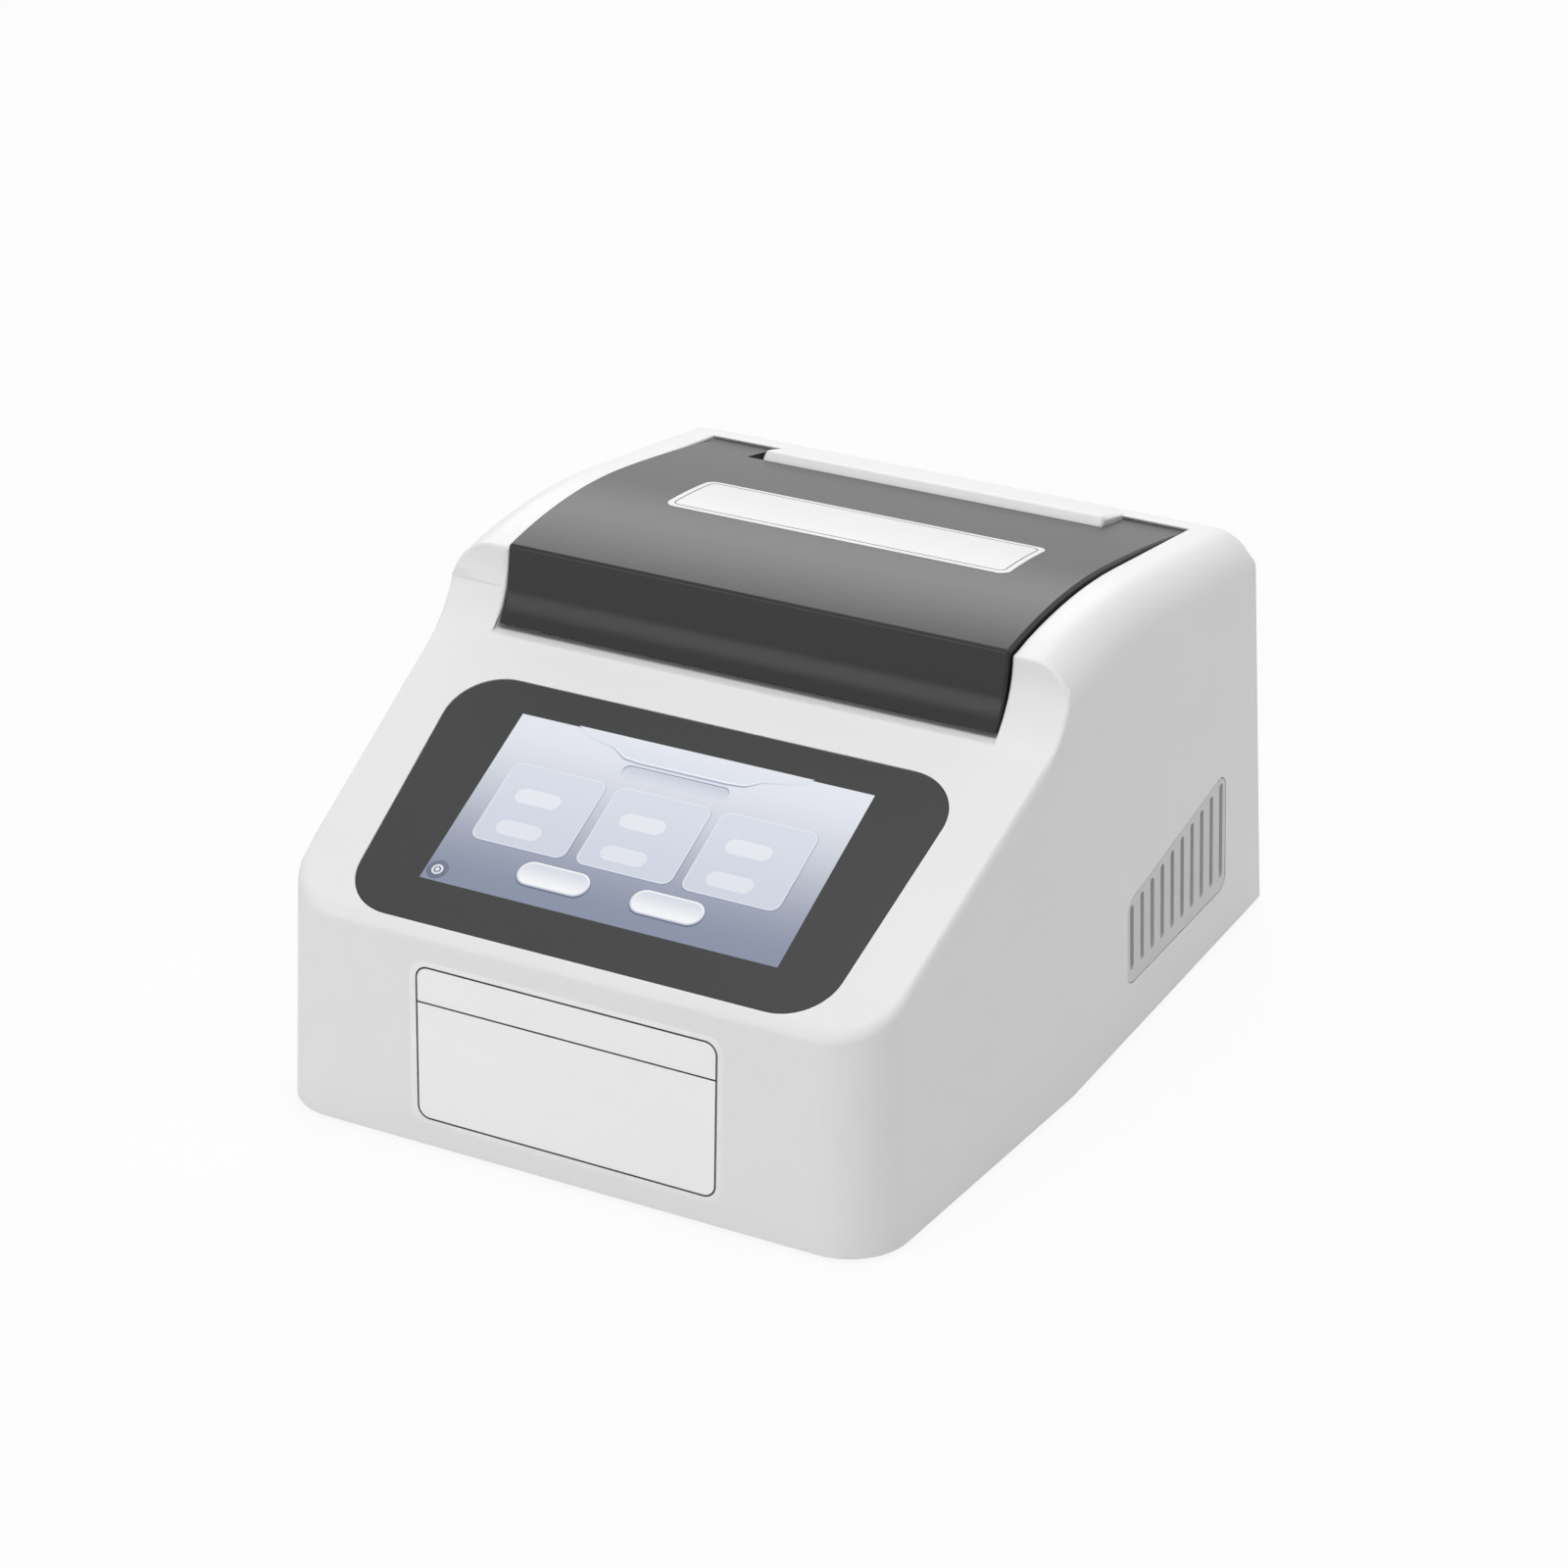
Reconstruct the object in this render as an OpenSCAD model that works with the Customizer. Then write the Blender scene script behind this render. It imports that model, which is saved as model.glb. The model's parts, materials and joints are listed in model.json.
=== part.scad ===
// Microplate incubator: a bench instrument with a hinged, heated lid over a shaken and heated
// plate chamber, a touch panel on a sloped front and its drive, boards and mains inlet inside.
// Millimetres, +Z up, front towards -Y, origin on the bench under the middle of the housing.

/* [Housing] */
// Width of the housing across its straight rear part
body_w = 286; // [280:1:300]
// Depth of the housing at its bottom edge
body_d = 342; // [340:1:360]
// Width of the housing across its front wall
front_w = 263; // [256:1:270]
// Distance from the front wall to the crease where the side walls stop widening
flare_d = 149.5; // [146:0.5:151]
// Lean of the outer walls from the vertical
draft_deg = 2.2; // [1.6:0.1:2.6]
// Height of the front wall up to the foot of the control slope
front_h = 90.5; // [88:0.5:93]
// Tilt of the control slope from the horizontal
slope_deg = 24.7; // [24:0.1:25.4]
// Radius of the two upright front corners
corner_r = 25; // [20:1:30]
// Radius of the soft edges round the control slope
edge_r = 4; // [3:0.5:6]
// Thickness of the moulded walls
wall = 3; // [2.5:0.25:3.5]

/* [Shoulders and crown] */
// Distance from the front wall to the top of the upright shoulder faces
shoulder_d = 152.2; // [151.8:0.2:153.4]
// Lean of the shoulder faces from the vertical
shoulder_lean_deg = 5; // [4:0.5:7]
// Radius that blends the control slope into the shoulder faces
foot_r = 36; // [26:1:40]
// Greatest height of the crown beside the lid
crown_h = 186.6; // [186:0.2:188]
// Distance from the front wall to the highest point of the crown
crown_peak_d = 200; // [195:1:205]
// Radius of the front part of the crown, seen from the side
crown_arc_r = 300; // [290:5:340]
// Distance from the front wall to where the crown runs on straight
crown_straight_d = 245; // [240:1:250]
// Radius of the long top edges beside the lid
crown_r = 18; // [14:1:20]
// Radius of the top rear edge
rear_edge_r = 5; // [3:0.5:6]

/* [Lid] */
// Width of the lid
lid_w = 220.4; // [218:0.2:222]
// Gap round the lid in its well
lid_gap = 0.7; // [0.5:0.1:1]
// Thickness of the lid's outer shell
lid_wall = 3; // [2.5:0.25:3.5]
// Height of the deck that the lid closes on
deck_h = 152; // [151:0.25:152.5]
// Gap between the deck and the bottom of the lid, filled by the seal
lid_lift = 2.4; // [2.2:0.1:2.6]
// Distance from the front wall to the bottom edge of the lid's front
lid_foot_d = 141; // [140:0.25:141.5]
// Distance from the front wall to the knee of the lid's front
lid_knee_d = 146.6; // [146:0.1:147]
// Height of the knee of the lid's front
lid_knee_h = 161.5; // [161:0.5:164]
// Radius of the knee of the lid's front
lid_knee_r = 22; // [15:1:24]
// Distance from the front wall to the top edge of the lid's front
lid_brow_d = 150.5; // [150:0.1:151]
// Greatest height of the lid
lid_top_h = 188.9; // [188.4:0.1:190]
// Distance from the front wall to the highest point of the lid
lid_peak_d = 198; // [194:1:202]
// Radius of the front part of the lid's top, seen from the side
lid_arc_r = 280; // [270:5:300]
// Radius of the rear part of the lid's top, seen from the side
lid_rear_arc_r = 1000; // [900:10:1200]
// Distance from the front wall to where the two arcs of the lid's top meet
lid_join_d = 240; // [236:1:244]

/* [Hinge] */
// Distance from the front wall to the hinge line
hinge_d = 312; // [311:0.25:313]
// Height of the hinge line
hinge_h = 165; // [164.75:0.25:165.5]
// Radius of the lid's knuckles about the hinge line
knuckle_r = 10.9; // [10.6:0.05:10.9]
// Radius of the rail that covers the hinge
rail_r = 15.4; // [15:0.1:15.8]
// Gap between the rail and the lid
rail_gap = 1.2; // [1:0.1:1.4]
// Rise of the rail above the crown at its front edge
rail_rise = 3.7; // [3:0.1:3.8]
// Left end of the rail
rail_left = 76; // [74:0.5:77]
// Right end of the rail
rail_right = 81.5; // [80:0.5:81.5]
// Half width of the notch in the lid
notch_half_w = 82.2; // [82:0.1:84]
// Diameter of the hinge shafts
hinge_pin_d = 8; // [6:0.5:9]

/* [Touch panel] */
// Distance from the foot of the slope to the panel's glass
bezel_from = 4.6; // [4:0.2:6]
// Length of the glass up the slope
bezel_len = 121.4; // [118:0.2:122]
// Width of the glass at its lower edge
bezel_low_w = 205; // [196:0.5:208]
// Width of the glass at its upper edge
bezel_high_w = 221.6; // [210:0.2:224]
// Corner radius of the glass
bezel_corner_r = 22; // [14:1:26]
// Thickness of the glass
bezel_t = 2; // [1.5:0.1:2.2]
// Width of the screen
screen_w = 154.2; // [150:0.1:156]
// Height of the screen
screen_h = 85.9; // [82:0.1:88]
// Distance from the foot of the slope to the middle of the screen
screen_mid = 67.8; // [66:0.1:69]
// Width of the display module
module_w = 165; // [160:0.5:168]
// Height of the display module
module_h = 100; // [96:0.5:102]
// Thickness of the display module behind the glass
module_t = 6; // [5:0.25:7]

/* [Chamber] */
// Distance from the front wall to the middle of the chamber
chamber_d = 218.5; // [218:0.25:219]
// Inner width of the chamber
tub_w = 196; // [194:0.5:198]
// Inner length of the chamber
tub_l = 139; // [138:0.25:139.5]
// Corner radius of the chamber
tub_r = 8; // [5:0.5:10]
// Height of the chamber floor
tub_floor_h = 104; // [103:0.25:104.5]
// Gap left beside the heat block at the end of its swing
block_side_gap = 5.9; // [3:0.1:8]
// Gap left before and behind the heat block at the end of its swing
block_end_gap = 1.8; // [1:0.1:2.5]
// Thickness of the chamber's walls
tub_t = 1.5; // [1:0.25:2]
// Length of a microplate
plate_l = 127.8; // [127:0.1:128]
// Width of a microplate
plate_w = 85.5; // [85:0.1:86]
// Height of a microplate
plate_h = 14.4; // [10:0.1:16]
// Play of a microplate in its nest
plate_play = 0.6; // [0.4:0.1:0.8]

/* [Drive] */
// Throw of the orbit, half the orbit's diameter
orbit_r = 1.5; // [1:0.1:1.6]
// Height of the plate that carries the drive
drive_plate_h = 66; // [60:0.5:66]
// Diameter of the crank's journals
journal_d = 8; // [7:0.5:8]
// Diameter of the idler pins
idler_pin_d = 5; // [4:0.5:6]
// Distance of the idlers from the crank, across
idler_x = 75; // [70:1:78]
// Distance of the idlers from the crank, front to back
idler_y = 50; // [48:1:54]
// Running diameter of the driven pulley
driven_d = 57; // [50:1:58]
// Running diameter of the motor pulley
motor_pulley_d = 19; // [16:1:22]
// Distance between the pulleys' axes
belt_centres = 62; // [58:1:64]
// Radial running clearance of pins and shafts
run_gap = 0.05; // [0.03:0.01:0.08]

/* [Services] */
// Side of the square fan
fan_w = 60; // [50:1:62]
// Thickness of the fan
fan_t = 15; // [12:1:18]
// Distance of the fan from the middle
fan_x = 70; // [66:1:74]
// Height of the fan's middle
fan_h = 64; // [56:1:70]
// Distance of the mains inlet from the middle
inlet_x = -72; // [-78:1:-66]
// Height of the middle of the mains inlet's flange
inlet_h = 55; // [48:1:60]
// Height that the feet stand below the housing
foot_drop = 2; // [1.5:0.5:4]
// Radius of the feet
foot_pad_r = 10; // [8:0.5:12]

/* [Side vents] */
// Distance from the front wall to the front edge of a vent
vent_from = 203; // [198:1:206]
// Length of a vent
vent_len = 100.5; // [96:0.5:104]
// Height of a vent's bottom edge
vent_low = 22.5; // [18:0.5:26]
// Height of a vent at its front edge
vent_front_h = 37; // [32:0.5:40]
// Height of a vent at its rear edge
vent_rear_h = 53; // [46:0.5:58]
// Corner radius of a vent
vent_r = 6; // [3:0.5:8]
// Number of slots in a vent
slot_count = 10; // [6:1:10]
// Distance between slots
slot_pitch = 10.1; // [8:0.1:10.1]
// Width of a slot
slot_w = 3; // [2:0.25:4]

/* [Hidden] */

$fn = 96;
hull_fn = 32;
lean = tan(draft_deg);
flare_deg = atan((body_w - front_w) / 2 / flare_d);
eps = 0.01;
far = 400;

// Lines of the side profile as [distance from the front, height]
front_up = [sin(draft_deg), cos(draft_deg)];
slope_up = [cos(slope_deg), sin(slope_deg)];
shoulder_up = [sin(shoulder_lean_deg), cos(shoulder_lean_deg)];
ridge = [lean * front_h, front_h];

function unit(v) = v / norm(v);
function meet(p, u, q, v) = p + u * (cross(q - p, v) / cross(u, v));
function shoulder_y(z) = shoulder_d - (shoulder_top.y - z) * tan(shoulder_lean_deg);
function crown_z(y) = y < crown_straight_d
    ? crown_h - crown_arc_r + sqrt(pow(crown_arc_r, 2) - pow(y - crown_peak_d, 2))
    : crown_z(crown_straight_d - eps) - crown_fall * (y - crown_straight_d);
crown_fall = (crown_straight_d - crown_peak_d)
    / sqrt(pow(crown_arc_r, 2) - pow(crown_straight_d - crown_peak_d, 2));
function side_x(y, z) = (y < flare_d
    ? front_w / 2 + (body_w - front_w) / 2 * y / flare_d
    : body_w / 2) - lean * z;
function slope_z(y) = ridge.y + (y - ridge.x) * tan(slope_deg);
shoulder_top = [shoulder_d, crown_z(shoulder_d)];
foot = meet(ridge, slope_up, shoulder_top, shoulder_up);
corner_x = front_w / 2 + corner_r * tan(flare_deg) - corner_r / cos(flare_deg);

// Lid levels and curves
lid_bottom = deck_h + lid_lift;
lid_centre = [lid_peak_d, lid_top_h - lid_arc_r];
lid_join = [lid_join_d, lid_centre.y + sqrt(pow(lid_arc_r, 2) - pow(lid_join_d - lid_peak_d, 2))];
lid_rear_centre = lid_join + (lid_centre - lid_join) * lid_rear_arc_r / lid_arc_r;
hinge = [hinge_d, hinge_h];
notch_r = rail_r + rail_gap;
lid_room_back = hinge_d - notch_r - 2.6;
well_half_w = lid_w / 2 + lid_gap;
lid_back_d = hinge_d + sqrt(pow(knuckle_r, 2) - pow(7, 2));
well_back = lid_back_d + lid_gap;
rail_nose = [hinge_d - 8.5, crown_z(hinge_d - 8.5) + rail_rise];
rear_top_d = body_d - lean * crown_z(body_d) - rear_edge_r;
rail_tail = [rear_top_d, crown_z(rear_top_d) - 0.5];

// Stack of the chamber, from the bench up
pan_t = 1.5;
pan_h = 0.6;
pan_top = pan_h + pan_t;
panel_d = body_d - lean * 132 - wall - 0.4;
drive_plate_t = 5;
deck_plate_top = drive_plate_h + drive_plate_t;
bearing_od = 22;
bearing_w = 7;
pulley_low = deck_plate_top + 5;
pulley_w = 10;
flange_t = 1.5;
flange_rise = 2.5;
weight_low = pulley_low + pulley_w + 1.5;
weight_t = 8;
crank_disc_low = weight_low + weight_t + 1.5;
crank_disc_t = 3;
hub_low = crank_disc_low + crank_disc_t + 0.6;
platform_low = hub_low + 10.4;
platform_t = 6;
insulation_t = 3;
heater_t = 1.5;
block_low = platform_low + platform_t + insulation_t + heater_t;
nest_floor_t = 12;
nest_low = block_low + nest_floor_t;
nest_rise = 5;
nest_rib = 5;
nest_w = plate_w + plate_play;
nest_l = plate_l + plate_play;
block_w = tub_w - 2 * (orbit_r + block_side_gap);
block_l = tub_l - 2 * (orbit_r + block_end_gap);
idler_post_top = platform_low - 13;
idler_web_t = 4;

// Gasket, liner and heater in the lid
seal_w = 3.5;
liner_t = 2;
liner_side = lid_w / 2 - lid_wall - 0.4;
liner_front = lid_foot_d + lid_wall + 2.1;
heater_window_w = 176;
heater_window_l = 118;
lid_heater_t = 3;
lid_mat_t = 1.2;

// Mains inlet levels
inlet_w = 50;
inlet_flange_h = 62;
inlet_flange_t = 2.5;
inlet_depth = 26;
socket_h = inlet_h - 18;
socket_w = 24.6;
socket_tall = 16.6;
socket_depth = 17;
drawer_h = inlet_h - 2.5;
drawer_w = 26.4;
drawer_tall = 8.4;
drawer_l = 20;
drawer_gap = 0.3;
rocker_h = inlet_h + 16;
rocker_w = 13;
rocker_r = 9.8;
rocker_gap = 0.3;
rocker_half_deg = 9;

// Screws, feet and boards
boss_r = 4.5;
rear_opening_w = body_w - 62;
screw_r = 1.45;
boss_front_d = 70;
boss_rear_d = body_d - 30;
boss_h = 24;
foot_front = [side_x(38, 0) - 36.4, 38];
foot_rear = [side_x(body_d - 38, 0) - 27, body_d - 38];
psu_size = [108, 98, 32];
psu_at = [-113, 22];
board_size = [98, 98, 1.6];
board_at = [6, 22];
board_rise = 9;

// Places a shape drawn from the housing's front bottom edge into the shared frame
module in_frame() {
    translate([0, -body_d / 2, foot_drop]) children();
}

// Puts the plane of a flat drawing onto the control slope, Y up the slope and Z outwards
module on_slope() {
    translate([0, ridge.x, ridge.y]) rotate([slope_deg, 0, 0]) children();
}

// Extrudes a side profile, drawn as [distance from the front, height], along X
module along_x(from, to) {
    translate([from, 0, 0]) rotate([90, 0, 90]) linear_extrude(height = to - from) children();
}

// Extrudes a rear view, drawn as [x, height], along Y
module along_y(from, to) {
    translate([0, to, 0]) rotate([90, 0, 0]) linear_extrude(height = to - from) children();
}

// Area between a corner at p, whose edges leave along u and v, and its fillet
module corner_sliver(p, u, v, r, skim = 0) {
    a = unit(u);
    b = unit(v);
    half = acos(a * b) / 2;
    mid = unit(a + b);
    centre = p + mid * r / sin(half);
    difference() {
        polygon([p + a * r / tan(half), p - mid, p + b * r / tan(half), centre]);
        translate(centre - mid * skim) circle(r = r);
    }
}

// Convex polygon with one fillet radius at all its corners
module rounded_polygon(points, r) {
    n = len(points);
    difference() {
        polygon(points);
        for (i = [0:n - 1])
            corner_sliver(points[i], points[(i + n - 1) % n] - points[i],
                points[(i + 1) % n] - points[i], r);
    }
}

// Rectangle about the origin with round corners
module rounded_rect(w, h, r) {
    square([w - 2 * r, h], center = true);
    square([w, h - 2 * r], center = true);
    for (sx = [-1, 1], sy = [-1, 1])
        translate([sx * (w / 2 - r), sy * (h / 2 - r)]) circle(r = r);
}

// Cylinder along X through a point of the side profile
module pin_x(p, r, from, to) {
    translate([from, p.x, p.y]) rotate([0, 90, 0]) cylinder(r = r, h = to - from);
}

// Cylinder along Y
module pin_y(x, z, r, from, to) {
    translate([x, from, z]) rotate([-90, 0, 0]) cylinder(r = r, h = to - from);
}

// Convex solid round a list of points
module solid_round(points) {
    hull() polyhedron(points = points, faces = [for (i = [0:len(points) - 3]) [i, i + 1, i + 2]]);
}

// Half of a rear view of the body, from the bottom edge over one rounded top edge
function half_section(top, r, inset) = let (
        cx = side_x(far, top - r) - inset - r
    ) concat([[side_x(far, -inset) - inset, -inset]],
        [for (i = [0:8]) [cx + r * cos(i * 11.25), top - r + r * sin(i * 11.25)]]);

// Rear view of the body under a crown of height top, with its long edges rounded
function section(top, r, inset) = let (
        half = half_section(top, r, inset)
    ) concat(half, [for (i = [len(half) - 1:-1:0]) [-half[i].x, half[i].y]]);

function both_sides(points) = concat(points, [for (p = points) [-p.x, p.y, p.z]]);

// Points that round the edge between an upright wall and the control slope
function edge_points(centre, wall_normal, e) = [
    for (i = [0:5]) centre + e * unit(wall_normal * (5 - i) + [0, -sin(slope_deg), cos(slope_deg)] * i)
];

// Front wedge under the control slope, drawn in by inset; its rear end runs on inside the rear block
module wedge_form(inset) {
    e = max(edge_r - inset, 1);
    drop = (e + inset) / cos(slope_deg);
    k = (body_w - front_w) / 2 / flare_d;
    low = -inset;
    corner = [for (i = [0:8]) i * 90 / 8];
    solid_round(both_sides(concat(
        [for (a = corner) let (r = corner_r - inset - lean * low)
            [corner_x + r * sin(a), corner_r - r * cos(a), low]],
        [for (a = corner) each let (
                r = corner_r - lean * (front_h - 8) - inset - e,
                y = corner_r - r * cos(a)
            ) edge_points([corner_x + r * sin(a), y, slope_z(y) - drop], [sin(a), -cos(a), lean], e)],
        [[side_x(flare_d, low) - inset, flare_d, low]],
        edge_points([side_x(flare_d, slope_z(flare_d) - drop) - inset - e, flare_d,
            slope_z(flare_d) - drop], [1, 0, lean], e),
        [[side_x(flare_d, low) - inset - 2, flare_d + 14, low]],
        edge_points([side_x(flare_d, slope_z(flare_d) - drop) - inset - e - 2, flare_d + 14,
            slope_z(flare_d + 14) - drop], [1, 0, lean], e)
    )));
}

// Rear block under the domed crown, drawn in by inset
module rear_form(inset) {
    r = crown_r - inset;
    face_low = shoulder_top.y - (shoulder_d - flare_d) / tan(shoulder_lean_deg);
    stations = [165, 180, crown_peak_d, 215, 230, crown_straight_d];
    solid_round(both_sides(concat(
        [for (z = [-inset, face_low]) [side_x(far, z) - inset, flare_d + inset, z]],
        [for (p = half_section(shoulder_top.y - inset, r, inset))
            [p.x, shoulder_y(max(p.y, face_low)) + inset, max(p.y, face_low)]],
        [for (y = stations) each [for (p = half_section(crown_z(y) - inset, r, inset)) [p.x, y, p.y]]],
        [for (i = [0:4]) each let (
                y = rear_top_d + rear_edge_r * sin(i * 22.5) - inset,
                z = crown_z(rear_top_d) - rear_edge_r * (1 - cos(i * 22.5)) - inset
            ) [for (p = half_section(z, r, inset)) [p.x, y, max(p.y, 40)]]],
        [[side_x(far, -inset) - inset, body_d - inset, -inset]]
    )));
}

// Space inside one flared side wall
module flare_space(side) {
    reach = 2 * body_w;
    translate([side * (body_w / 2 - 0.05), flare_d, 0]) rotate([0, 0, -side * flare_deg])
        rotate([90, 0, 0]) linear_extrude(height = 2 * body_d, center = true)
            polygon([[-side * reach, -5], [side * 5 * lean, -5], [-side * 220 * lean, 220],
                [-side * reach, 220]]);
}

// Concave blend from the control slope up to the shoulder faces
module foot_blend() {
    intersection() {
        along_x(-body_w, body_w) corner_sliver(foot, -slope_up, shoulder_up, foot_r, 0.04);
        along_y(100, flare_d + 10) polygon(section(shoulder_top.y - 0.05, crown_r, 0.05));
        flare_space(1);
        flare_space(-1);
    }
}

// Well that the lid lies in, open at the front and the top
module lid_well(extra) {
    depth = deck_h - extra;
    translate([-well_half_w - extra, 100, depth])
        cube([2 * (well_half_w + extra), well_back + extra - 100, far]);
    pin_x(hinge, knuckle_r + 0.6 + extra, -well_half_w - extra, well_half_w + extra);
}

// Side profile of the rail over the hinge, drawn in by inset
module rail_profile(inset, low) {
    r = rail_r - inset;
    along = unit(rail_tail - rail_nose);
    down = [along.y, -along.x];
    a = rail_nose + down * inset;
    b = rail_tail + down * inset;
    reach = a - along * 40;
    intersection() {
        union() {
            translate(hinge) circle(r = r);
            translate([hinge_d - r, low]) square([b.x - hinge_d + r, hinge_h - low]);
            translate([hinge_d, low]) square([b.x - hinge_d, far]);
        }
        polygon([[reach.x, low - 5], reach, b, [b.x, low - 5]]);
    }
}

module upper_housing() {
    color("whitesmoke") in_frame() difference() {
        union() {
            difference() {
                union() {
                    wedge_form(0);
                    rear_form(0);
                    foot_blend();
                }
                lid_well(0);
            }
            along_x(-rail_left, rail_right) rail_profile(0, deck_h - wall);
        }
        difference() {
            union() {
                wedge_form(wall);
                rear_form(wall);
                rail_room();
            }
            difference() {
                lid_well(wall);
                along_x(wall - rail_left, rail_right - wall) rail_profile(wall, 100);
            }
            on_slope() translate([-bezel_high_w / 2 - 5, bezel_from - 4, -bezel_t - 4.6])
                cube([bezel_high_w + 10, bezel_len + 8, 20]);
            for (side = [-1, 1], y = [boss_front_d, boss_rear_d])
                screw_boss(side, y);
        }
        hinge_openings();
        slope_openings();
        deck_opening();
        rear_opening();
        for (side = [-1, 1]) {
            vent_opening(side);
            for (y = [boss_front_d, boss_rear_d])
                translate([side * boss_x(y), y, pan_top - 1])
                    cylinder(r = screw_r + run_gap, h = 15, $fn = 24);
        }
    }
}

// Room for the hinge barrels under the rail, above the line of the crown's inner face
module rail_room() {
    along_x(wall - rail_left, rail_right - wall) intersection() {
        rail_profile(wall, deck_h);
        square([hinge_d + 13, far]);
    }
}

function boss_x(y) = side_x(y, 0) - wall - boss_r + 1.5;

// Screw boss tied to the side wall
module screw_boss(side, y) {
    translate([side * boss_x(y), y, pan_top]) hull() {
        cylinder(r = boss_r, h = boss_h, $fn = hull_fn);
        translate([side * (boss_r + 4), 0, boss_h / 2]) cube([2, 2 * boss_r, boss_h], center = true);
    }
}

module hinge_openings() {
    pin_x(hinge, hinge_pin_d / 2 + 0.3, -rail_left - 1, -rail_left + wall + 1);
    pin_x(hinge, hinge_pin_d / 2 + 0.3, rail_right - wall - 1, rail_right + 1);
}

module slope_openings() {
    on_slope() {
        translate([0, 0, -bezel_t - 0.2]) linear_extrude(height = 12)
            rounded_polygon(bezel_points(0.3), bezel_corner_r + 0.3);
        translate([0, screen_mid, -14]) linear_extrude(height = 14)
            square([module_w + 0.8, module_h + 0.8], center = true);
    }
}

module deck_opening() {
    translate([0, chamber_d, deck_h - wall - 2]) linear_extrude(height = wall + 4)
        rounded_rect(tub_w, tub_l, tub_r);
}

module rear_opening() {
    along_y(body_d - 12, body_d + 5) translate([0, 63]) rounded_rect(rear_opening_w, 110, 6);
}

function vent_points(g) = [
    [vent_from - g, vent_low - g], [vent_from + vent_len + g, vent_low - g],
    [vent_from + vent_len + g, vent_low + vent_rear_h + g], [vent_from - g, vent_low + vent_front_h + g]
];

module vent_opening(side) {
    x = side * (body_w / 2 - 6);
    along_x(x - 14, x + 14) rounded_polygon(vent_points(0.25), vent_r + 0.25);
}

// Louvre plate that fills one side vent, with a rim behind the wall
module vent_grille(side) {
    first = vent_from + (vent_len - slot_pitch * (slot_count - 1)) / 2;
    margin = 6;
    mirror([side < 0 ? 1 : 0, 0, 0]) translate([body_w / 2, 0, 0]) rotate([0, -draft_deg, 0])
        difference() {
            union() {
                along_x(-wall - 0.1, -0.3) rounded_polygon(vent_points(0), vent_r);
                along_x(-wall - 1.6, -wall - 0.1) rounded_polygon(vent_points(3), vent_r + 3);
            }
            for (i = [0:slot_count - 1]) {
                y = first + i * slot_pitch;
                top = vent_low + vent_front_h + (vent_rear_h - vent_front_h) * (y - vent_from) / vent_len;
                along_x(-wall - 5, 3) slot(y, vent_low + margin + slot_w / 2, top - margin / 2 - slot_w / 2);
            }
        }
}

module slot(y, low, high) {
    translate([y - slot_w / 2, low]) square([slot_w, high - low]);
    translate([y, low]) circle(d = slot_w);
    translate([y, high]) circle(d = slot_w);
}

module vent_grille_right() {
    color("gainsboro") in_frame() vent_grille(1);
}

module vent_grille_left() {
    color("gainsboro") in_frame() vent_grille(-1);
}

// Folded steel pan: the floor and the upright rear panel
module chassis_pan() {
    g = wall + 0.5;
    half_front = front_w / 2 - g;
    half_rear = body_w / 2 - g;
    color("lightsteelblue") in_frame() {
        difference() {
            translate([0, 0, pan_h]) linear_extrude(height = pan_t) difference() {
                rounded_polygon([[-half_front, g], [half_front, g], [half_rear, flare_d],
                    [half_rear, body_d - g], [-half_rear, body_d - g], [-half_rear, flare_d]], 20);
                for (sx = [-1, 1], i = [0:7])
                    translate([sx * 70, 175 + i * 9]) rounded_rect(44, 4, 1.9);
                for (side = [-1, 1], y = [boss_front_d, boss_rear_d])
                    translate([side * boss_x(y), y]) circle(r = screw_r + 0.3);
            }
        }
        difference() {
            along_y(panel_d - pan_t, panel_d) translate([0, 66]) rounded_rect(rear_opening_w + 38, 128, 4);
            translate([-200, 0, pan_h - 50]) cube([400, 400, 50 + pan_t / 2]);
            pin_y(fan_x, fan_h, fan_w / 2 - 2, panel_d - 5, panel_d + 5);
            along_y(panel_d - 5, panel_d + 5) translate([inlet_x, inlet_h])
                square([inlet_w - 3.4, inlet_flange_h - 3.4], center = true);
        }
    }
}

module rubber_feet() {
    color("dimgray") in_frame()
        for (side = [-1, 1], p = [foot_front, foot_rear])
            translate([side * p.x, p.y, -foot_drop]) {
                cylinder(r1 = foot_pad_r - 0.8, r2 = foot_pad_r, h = 1);
                translate([0, 0, 1]) cylinder(r = foot_pad_r, h = foot_drop + pan_h - 1);
            }
}

module base_screws() {
    color("silver") in_frame()
        for (side = [-1, 1], y = [boss_front_d, boss_rear_d])
            translate([side * boss_x(y), y, pan_h - 1.4]) difference() {
                union() {
                    cylinder(r = 3, h = 1.4);
                    cylinder(r = screw_r, h = 13);
                }
                translate([0, 0, -1]) cylinder(r = 1.3, h = 1.8, $fn = 6);
            }
}

function bezel_points(g) = [
    [-bezel_low_w / 2 - g, bezel_from - g], [bezel_low_w / 2 + g, bezel_from - g],
    [bezel_high_w / 2 + g, bezel_from + bezel_len + g], [-bezel_high_w / 2 - g, bezel_from + bezel_len + g]
];

module touch_bezel() {
    color("dimgray") in_frame() on_slope() translate([0, 0, -bezel_t - 0.2])
        linear_extrude(height = bezel_t) difference() {
            rounded_polygon(bezel_points(0), bezel_corner_r);
            translate([0, screen_mid]) square([screen_w + 0.4, screen_h + 0.4], center = true);
        }
}

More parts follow.
